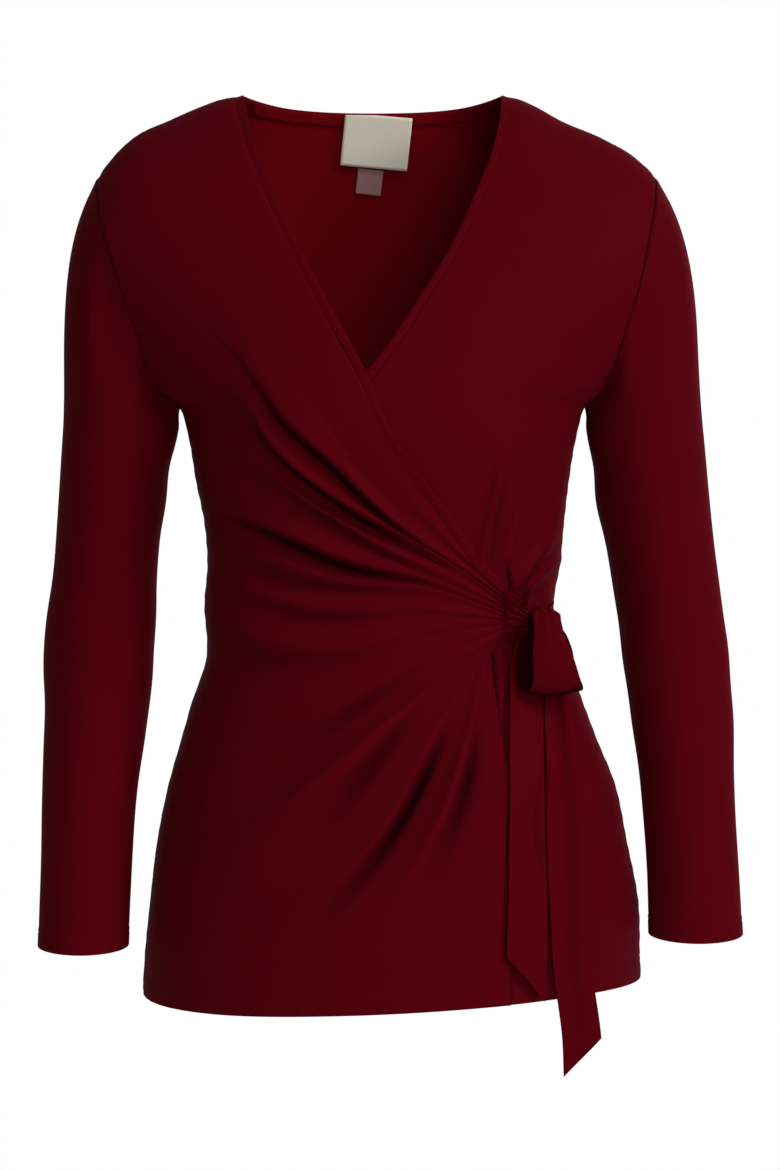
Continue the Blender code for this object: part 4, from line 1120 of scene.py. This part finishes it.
# The tie. Rows run along each strip: its middle, its width, and how deep it is folded lengthwise.
# y here is the least distance in front of the origin; a strip is pushed out to clear the cloth.
TIE_CLEARANCE = 2.2
TIE_TIP = table(
    "x out drop width fold",
    (88, 76.5, 362.5, 31, 0.6),
    (94, 78.5, 362, 26, 1.4),
    (99, 78, 362.2, 19, 1.6),
    (103.6, 74, 363, 14, 1.2),
)
# The tie from the side seam lies on the under front: its rows are places on it, not x and y
TIE_SIDE = table(
    "across drop proud width fold forward",
    (0.965, 364, 0.5, 20, 0.0, 0),
    (0.88, 365, 0.9, 19, 0.5, 0),
    (0.80, 365, 2.4, 16, 0.9, 2),
    (0.75, 365, 4.0, 13, 1.0, 8),
    (0.735, 365, 5.0, 12, 1.0, 17),
)
KNOT = {"x": 111, "out": 71, "drop": 365, "half": (6.8, 9.0, 7.5), "pleats": 7, "pleat": 0.06}
LOOP = table(
    "x out drop width tilt bow round",
    (112.5, 79, 365, 9, 0, 0.5, 0),
    (113.3, 86, 359.5, 14, 0, 1.5, 2),
    (115.5, 91, 358.3, 19, 1, 2, 3.5),
    (116.2, 93.5, 363.5, 19.5, 2, 2.4, 3),
    (117.8, 94.8, 375, 21, 2, 2.2, 1),
    (120, 95.8, 390, 27, 0, 1.8, 0),
    (121.8, 95.5, 403, 30, -4, 1.4, -1),
    (122.3, 93.5, 411.5, 33, -5, 0.8, -2.5),
    (122, 89, 417.5, 38, -3, 0, -4),
    (119.5, 84.5, 418.5, 43, 1, -0.8, -4.5),
    (117.5, 81.5, 411, 43, 3, -1.2, -3),
    (116, 80.5, 398, 40, 2, -1, -1),
    (116, 80, 384, 34, 0, -0.6, 0),
    (116, 79, 373, 22, 0, 0, 0),
    (114, 77, 368, 12, 0, 0, 0),
)
SHORT_TAIL = table(
    "drop left right out fold",
    (366.6, 101.5, 112.2, 68.5, 1.1),
    (392, 93.5, 113.5, 69, 1.6),
    (430, 91.5, 114.2, 76, 1.4),
    (500, 90.5, 114.8, 96, 1.2),
    (560, 89.5, 116.2, 98, 1.2),
    (600, 88.2, 116, 99, 1.2),
    (625, 88, 114.5, 100, 1.0),
)
LONG_TAIL = table(
    "drop left right out fold",
    (366.6, 113.2, 119.5, 68.5, 1.1),
    (392, 114.8, 128, 64, 2.0),
    (430, 115.6, 134.5, 72, 2.0),
    (464, 116, 137.8, 84, 1.8),
    (529, 116.6, 140.5, 92, 1.4),
    (562, 118.3, 142.8, 94, 1.4),
    (595, 120, 145, 95, 1.2),
    (615, 122, 148.2, 96, 1.0),
    (650, 126.4, 153, 98, 0.8),
    (676, 127.4, 154, 99, 0.6),
)
TAIL_CUT = {"short": (594, 625), "long": (676, 650)}  # drop of each end's two corners
HIP = 612  # below this drop a tail hangs free of the cloth behind it
TIP_PLEATS, PLEAT_SLANT = 4.5, 0.45  # across the tip, and how far they climb on their way
TIP_PAINTED_SHADE, KNOT_PAINTED_SHADE = 0.8, 0.8  # how nearly black the painted shade in the tip's creases and on the knot is
DEEP_PLEAT, SMALL_PLEAT = 0.56, 0.22  # the bow's two pleats at the knot, across its strip
BOW_TURN = 0.53  # share of the loop's strip that lies in front
BOW_INSIDE_PAINTED_SHADE, BOW_PLEAT_PAINTED_SHADE = 0.93, 0.9  # how nearly black the painted shade on its inside and in its deep pleat is


def out_at(x, drop, above):
    """How far in front of the origin a strip must be to clear the fronts."""
    across = across_at(x, drop, FRONT)
    return -front_layer(across, drop, above)[..., 1]


def down_strip(rows, v):
    """A table's columns at a share v of the way along the strip."""
    reach = reach_along(beside(rows["x"], rows["out"], rows["drop"]))
    return read(rows, reach, v * reach[-1])


def towards_viewer(point):
    return Vector((0, -1, 0))


def tip_pleat(u, v):
    """The tip's pleats: 1 on a ridge, 0 in a crease."""
    return np.abs(np.cos(math.pi * TIP_PLEATS * (u - PLEAT_SLANT * v) + 0.4))


def tie_tip(u, v):
    """The gathered end of the top front, which narrows in sharp pleats on its way to the knot."""
    edge = top_front(np.interp(u, GATHER, np.arange(len(FOLDS))), np.zeros(len(u)))
    at = down_strip(TIE_TIP, v)
    fold = (at["fold"] + 0.6) * (1.6 * tip_pleat(u, v) ** 0.7 - 0.8)
    drop = at["drop"] + at["width"] * (u - 0.5) * (1 - 0.12 * np.sin(math.pi * v))
    strip = beside(at["x"] + 0.3 * fold, -at["out"] - fold, -drop)
    joined = np.sin(np.clip(v / 0.6, 0, 1) * math.pi / 2)[:, None]
    return edge * (1 - joined) + strip * joined


def tie_side(u, v):
    """The tie from the side seam, on the under front until it rises to the knot."""
    at = read(TIE_SIDE, even(len(TIE_SIDE["across"])), v)
    fold = at["fold"] * (1 + np.cos(2 * math.pi * 2 * u))
    drop = at["drop"] + at["width"] * (u - 0.5)
    point = cloth(at["across"], drop, FRONT, at["proud"] + fold)
    point[:, 1] -= at["forward"]
    return point


def tail(rows, cut):
    """A hanging end, cut to a point."""

    def place(u, v):
        top_drop = rows["drop"][0]
        drop = top_drop + (cut[0] + (cut[1] - cut[0]) * u - top_drop) * v
        at = read(rows, rows["drop"], drop)
        x = at["left"] + (at["right"] - at["left"]) * u
        out = np.maximum(at["out"], out_at(x, np.minimum(drop, HIP), TIE_CLEARANCE + JERSEY))
        ridge = np.cos(2 * math.pi * (1.25 * u + 0.12 * np.sin(drop / 47)))
        out = out + at["fold"] * (ridge + 1) * (0.45 + 0.55 * np.exp(-(drop - top_drop) / 60))
        return beside(x, -out, -drop)

    return place


def bow_loop(u, v):
    """The half bow: one strip that arches out of the knot, hangs, and comes back behind."""
    at = down_strip(LOOP, v)
    near_knot = bell(v, 0.2) + bell(1 - v, 0.12)
    slit = bell(u - DEEP_PLEAT, 0.09) + 0.6 * bell(u - SMALL_PLEAT, 0.1)
    out = at["out"] + at["bow"] * (1 - (2 * u - 1) ** 2) - 2.6 * slit * near_knot
    x = at["x"] + at["width"] * (u - 0.5)
    drop = at["drop"] + at["tilt"] * (u - 0.5) + at["round"] * (2 * u - 1) ** 2
    return beside(x, -out, -drop)


def tip_painted_shade(u, v):
    """Painted shade in the tip's pleat creases towards the knot."""
    return TIP_PAINTED_SHADE * bell(tip_pleat(u, v), 0.3) * smooth((v - 0.25) / 0.5)


def bow_painted_shade(u, v):
    """Painted shade: the back half of the loop is its inside, painted almost black for the shade within
    the loop, and its deep pleat, which closes on itself at the knot, is painted dark too.
    """
    inside = BOW_INSIDE_PAINTED_SHADE * smooth((v - BOW_TURN) / 0.05)
    crease = bell(u - DEEP_PLEAT, 0.05)
    return np.maximum(inside, BOW_PLEAT_PAINTED_SHADE * crease * smooth((0.2 - v) / 0.12) * smooth(v / 0.04))


tip_piece = grid_cloth(
    "gathered_tip",
    even(65),
    stops((0, 0.01, 1), (0.01, 1, 30)),
    tie_tip,
    towards_viewer,
    painted_shade=tip_painted_shade,
)
side_piece = grid_cloth("side_strap", even(49), even(61), tie_side)
short_piece = grid_cloth(
    "tie_end_short", even(33), even(161), tail(SHORT_TAIL, TAIL_CUT["short"]), towards_viewer
)
long_piece = grid_cloth(
    "tie_end_long", even(33), even(181), tail(LONG_TAIL, TAIL_CUT["long"]), towards_viewer
)
loop_piece = grid_cloth(
    "bow_loop", even(33), even(101), bow_loop, lambda p: Vector((0, 0, -1)), painted_shade=bow_painted_shade
)

shape = bmesh.new()
bmesh.ops.create_uvsphere(shape, u_segments=84, v_segments=40, radius=1)
# The whole knot is painted dark, for the shade it sits in under the loop and the tip
layer = shape.verts.layers.float.new("painted_shade")
for vertex in shape.verts:
    vertex[layer] = KNOT_PAINTED_SHADE
    turn = math.atan2(vertex.co.y, vertex.co.x)
    swell = 1 + KNOT["pleat"] * math.cos(KNOT["pleats"] * turn) * (1 - vertex.co.z**2)
    half_x, half_y, half_z = KNOT["half"]
    vertex.co = (
        (KNOT["x"] + vertex.co.x * half_x * swell) * MM,
        (-KNOT["out"] + vertex.co.y * half_y * swell) * MM,
        (-KNOT["drop"] + vertex.co.z * half_z) * MM,
    )
knot_piece = finished("bow_knot", shape, JERSEY_CLOTH)
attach(knot_piece, "root")

for piece, node, flat in (
    (tip_piece, "tie_tip", (0.062, 0.021)),
    (side_piece, "tie_side", (0.024, 0.048)),
    (short_piece, "tie_tail_short", (0.027, 0.26)),
    (long_piece, "tie_tail_long", (0.026, 0.31)),
    (loop_piece, "tie_loop", (0.032, 0.115)),
    (knot_piece, "tie_knot", (0.02, 0.024)),
):
    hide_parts(node)


# ---- Studio ----
# A white sweep behind and a pale floor below, with a large soft key from the viewer's upper
# right and an even fill, as a catalogue picture has.

FLOOR_DROP = 1.0  # m
LENS = {"sensor": 36, "distance": 3.0, "frame": 0.819}  # mm, m and m

world = bpy.context.scene.world or bpy.data.worlds.new("studio")
bpy.context.scene.world = world
world.use_nodes = True
sky = world.node_tree
sky.nodes.clear()
backdrop = add_node(sky, "Background", {"Color": linear("#ffffff"), "Strength": 1.0})
ambient = add_node(sky, "Background", {"Color": linear("#ffffff"), "Strength": 0.14})
seen = add_node(sky, "LightPath")
choice = add_node(
    sky,
    "MixShader",
    {},
    {0: (seen, "Is Camera Ray"), 1: (ambient, "Background"), 2: (backdrop, "Background")},
)
add_node(sky, "OutputWorld", {}, {"Surface": (choice, "Shader")})

for name, size, power, at in (
    ("key", 1.2, 52, (2.3, -1.7, 1.2)),
    ("top", 1.3, 18, (0.2, -2.1, 2.2)),
    ("fill", 1.0, 27, (0.6, -3.2, -0.1)),
    ("back", 1.6, 62, (1.7, 2.3, 0.8)),
):
    lamp_data = bpy.data.lights.new(name, "AREA")
    lamp_data.shape = "DISK"
    lamp_data.size = size
    lamp_data.energy = power
    lamp = bpy.data.objects.new(name, lamp_data)
    bpy.context.scene.collection.objects.link(lamp)
    lamp.location = at
    lamp.rotation_euler = (Vector((0, 0, -0.33)) - Vector(at)).to_track_quat("-Z", "Y").to_euler()
    lamp.visible_glossy = name != "back"  # so that it draws no bright rim round the front

floor_material, floor_tree, floor_output = fresh_material("studio_floor")
floor_shader = add_node(floor_tree, "BsdfPrincipled", {"Base Color": linear("#e9e7e4"), "Roughness": 0.8})
floor_tree.links.new(floor_shader.outputs["BSDF"], floor_output.inputs["Surface"])
shape = bmesh.new()
bmesh.ops.create_circle(shape, cap_ends=True, segments=64, radius=1.4)
for vertex in shape.verts:
    vertex.co.z = -FLOOR_DROP
floor = finished("floor", shape, floor_material)

camera_data = bpy.data.cameras.new("camera")
camera_data.sensor_width = LENS["sensor"]
camera_data.lens = LENS["sensor"] * LENS["distance"] / LENS["frame"]
camera = bpy.data.objects.new("camera", camera_data)
camera.location = (0.0098, -LENS["distance"], -0.343)
camera.rotation_euler = (math.pi / 2, 0, 0)
bpy.context.scene.collection.objects.link(camera)
bpy.context.scene.camera = camera
bpy.context.scene.view_settings.view_transform = "Standard"
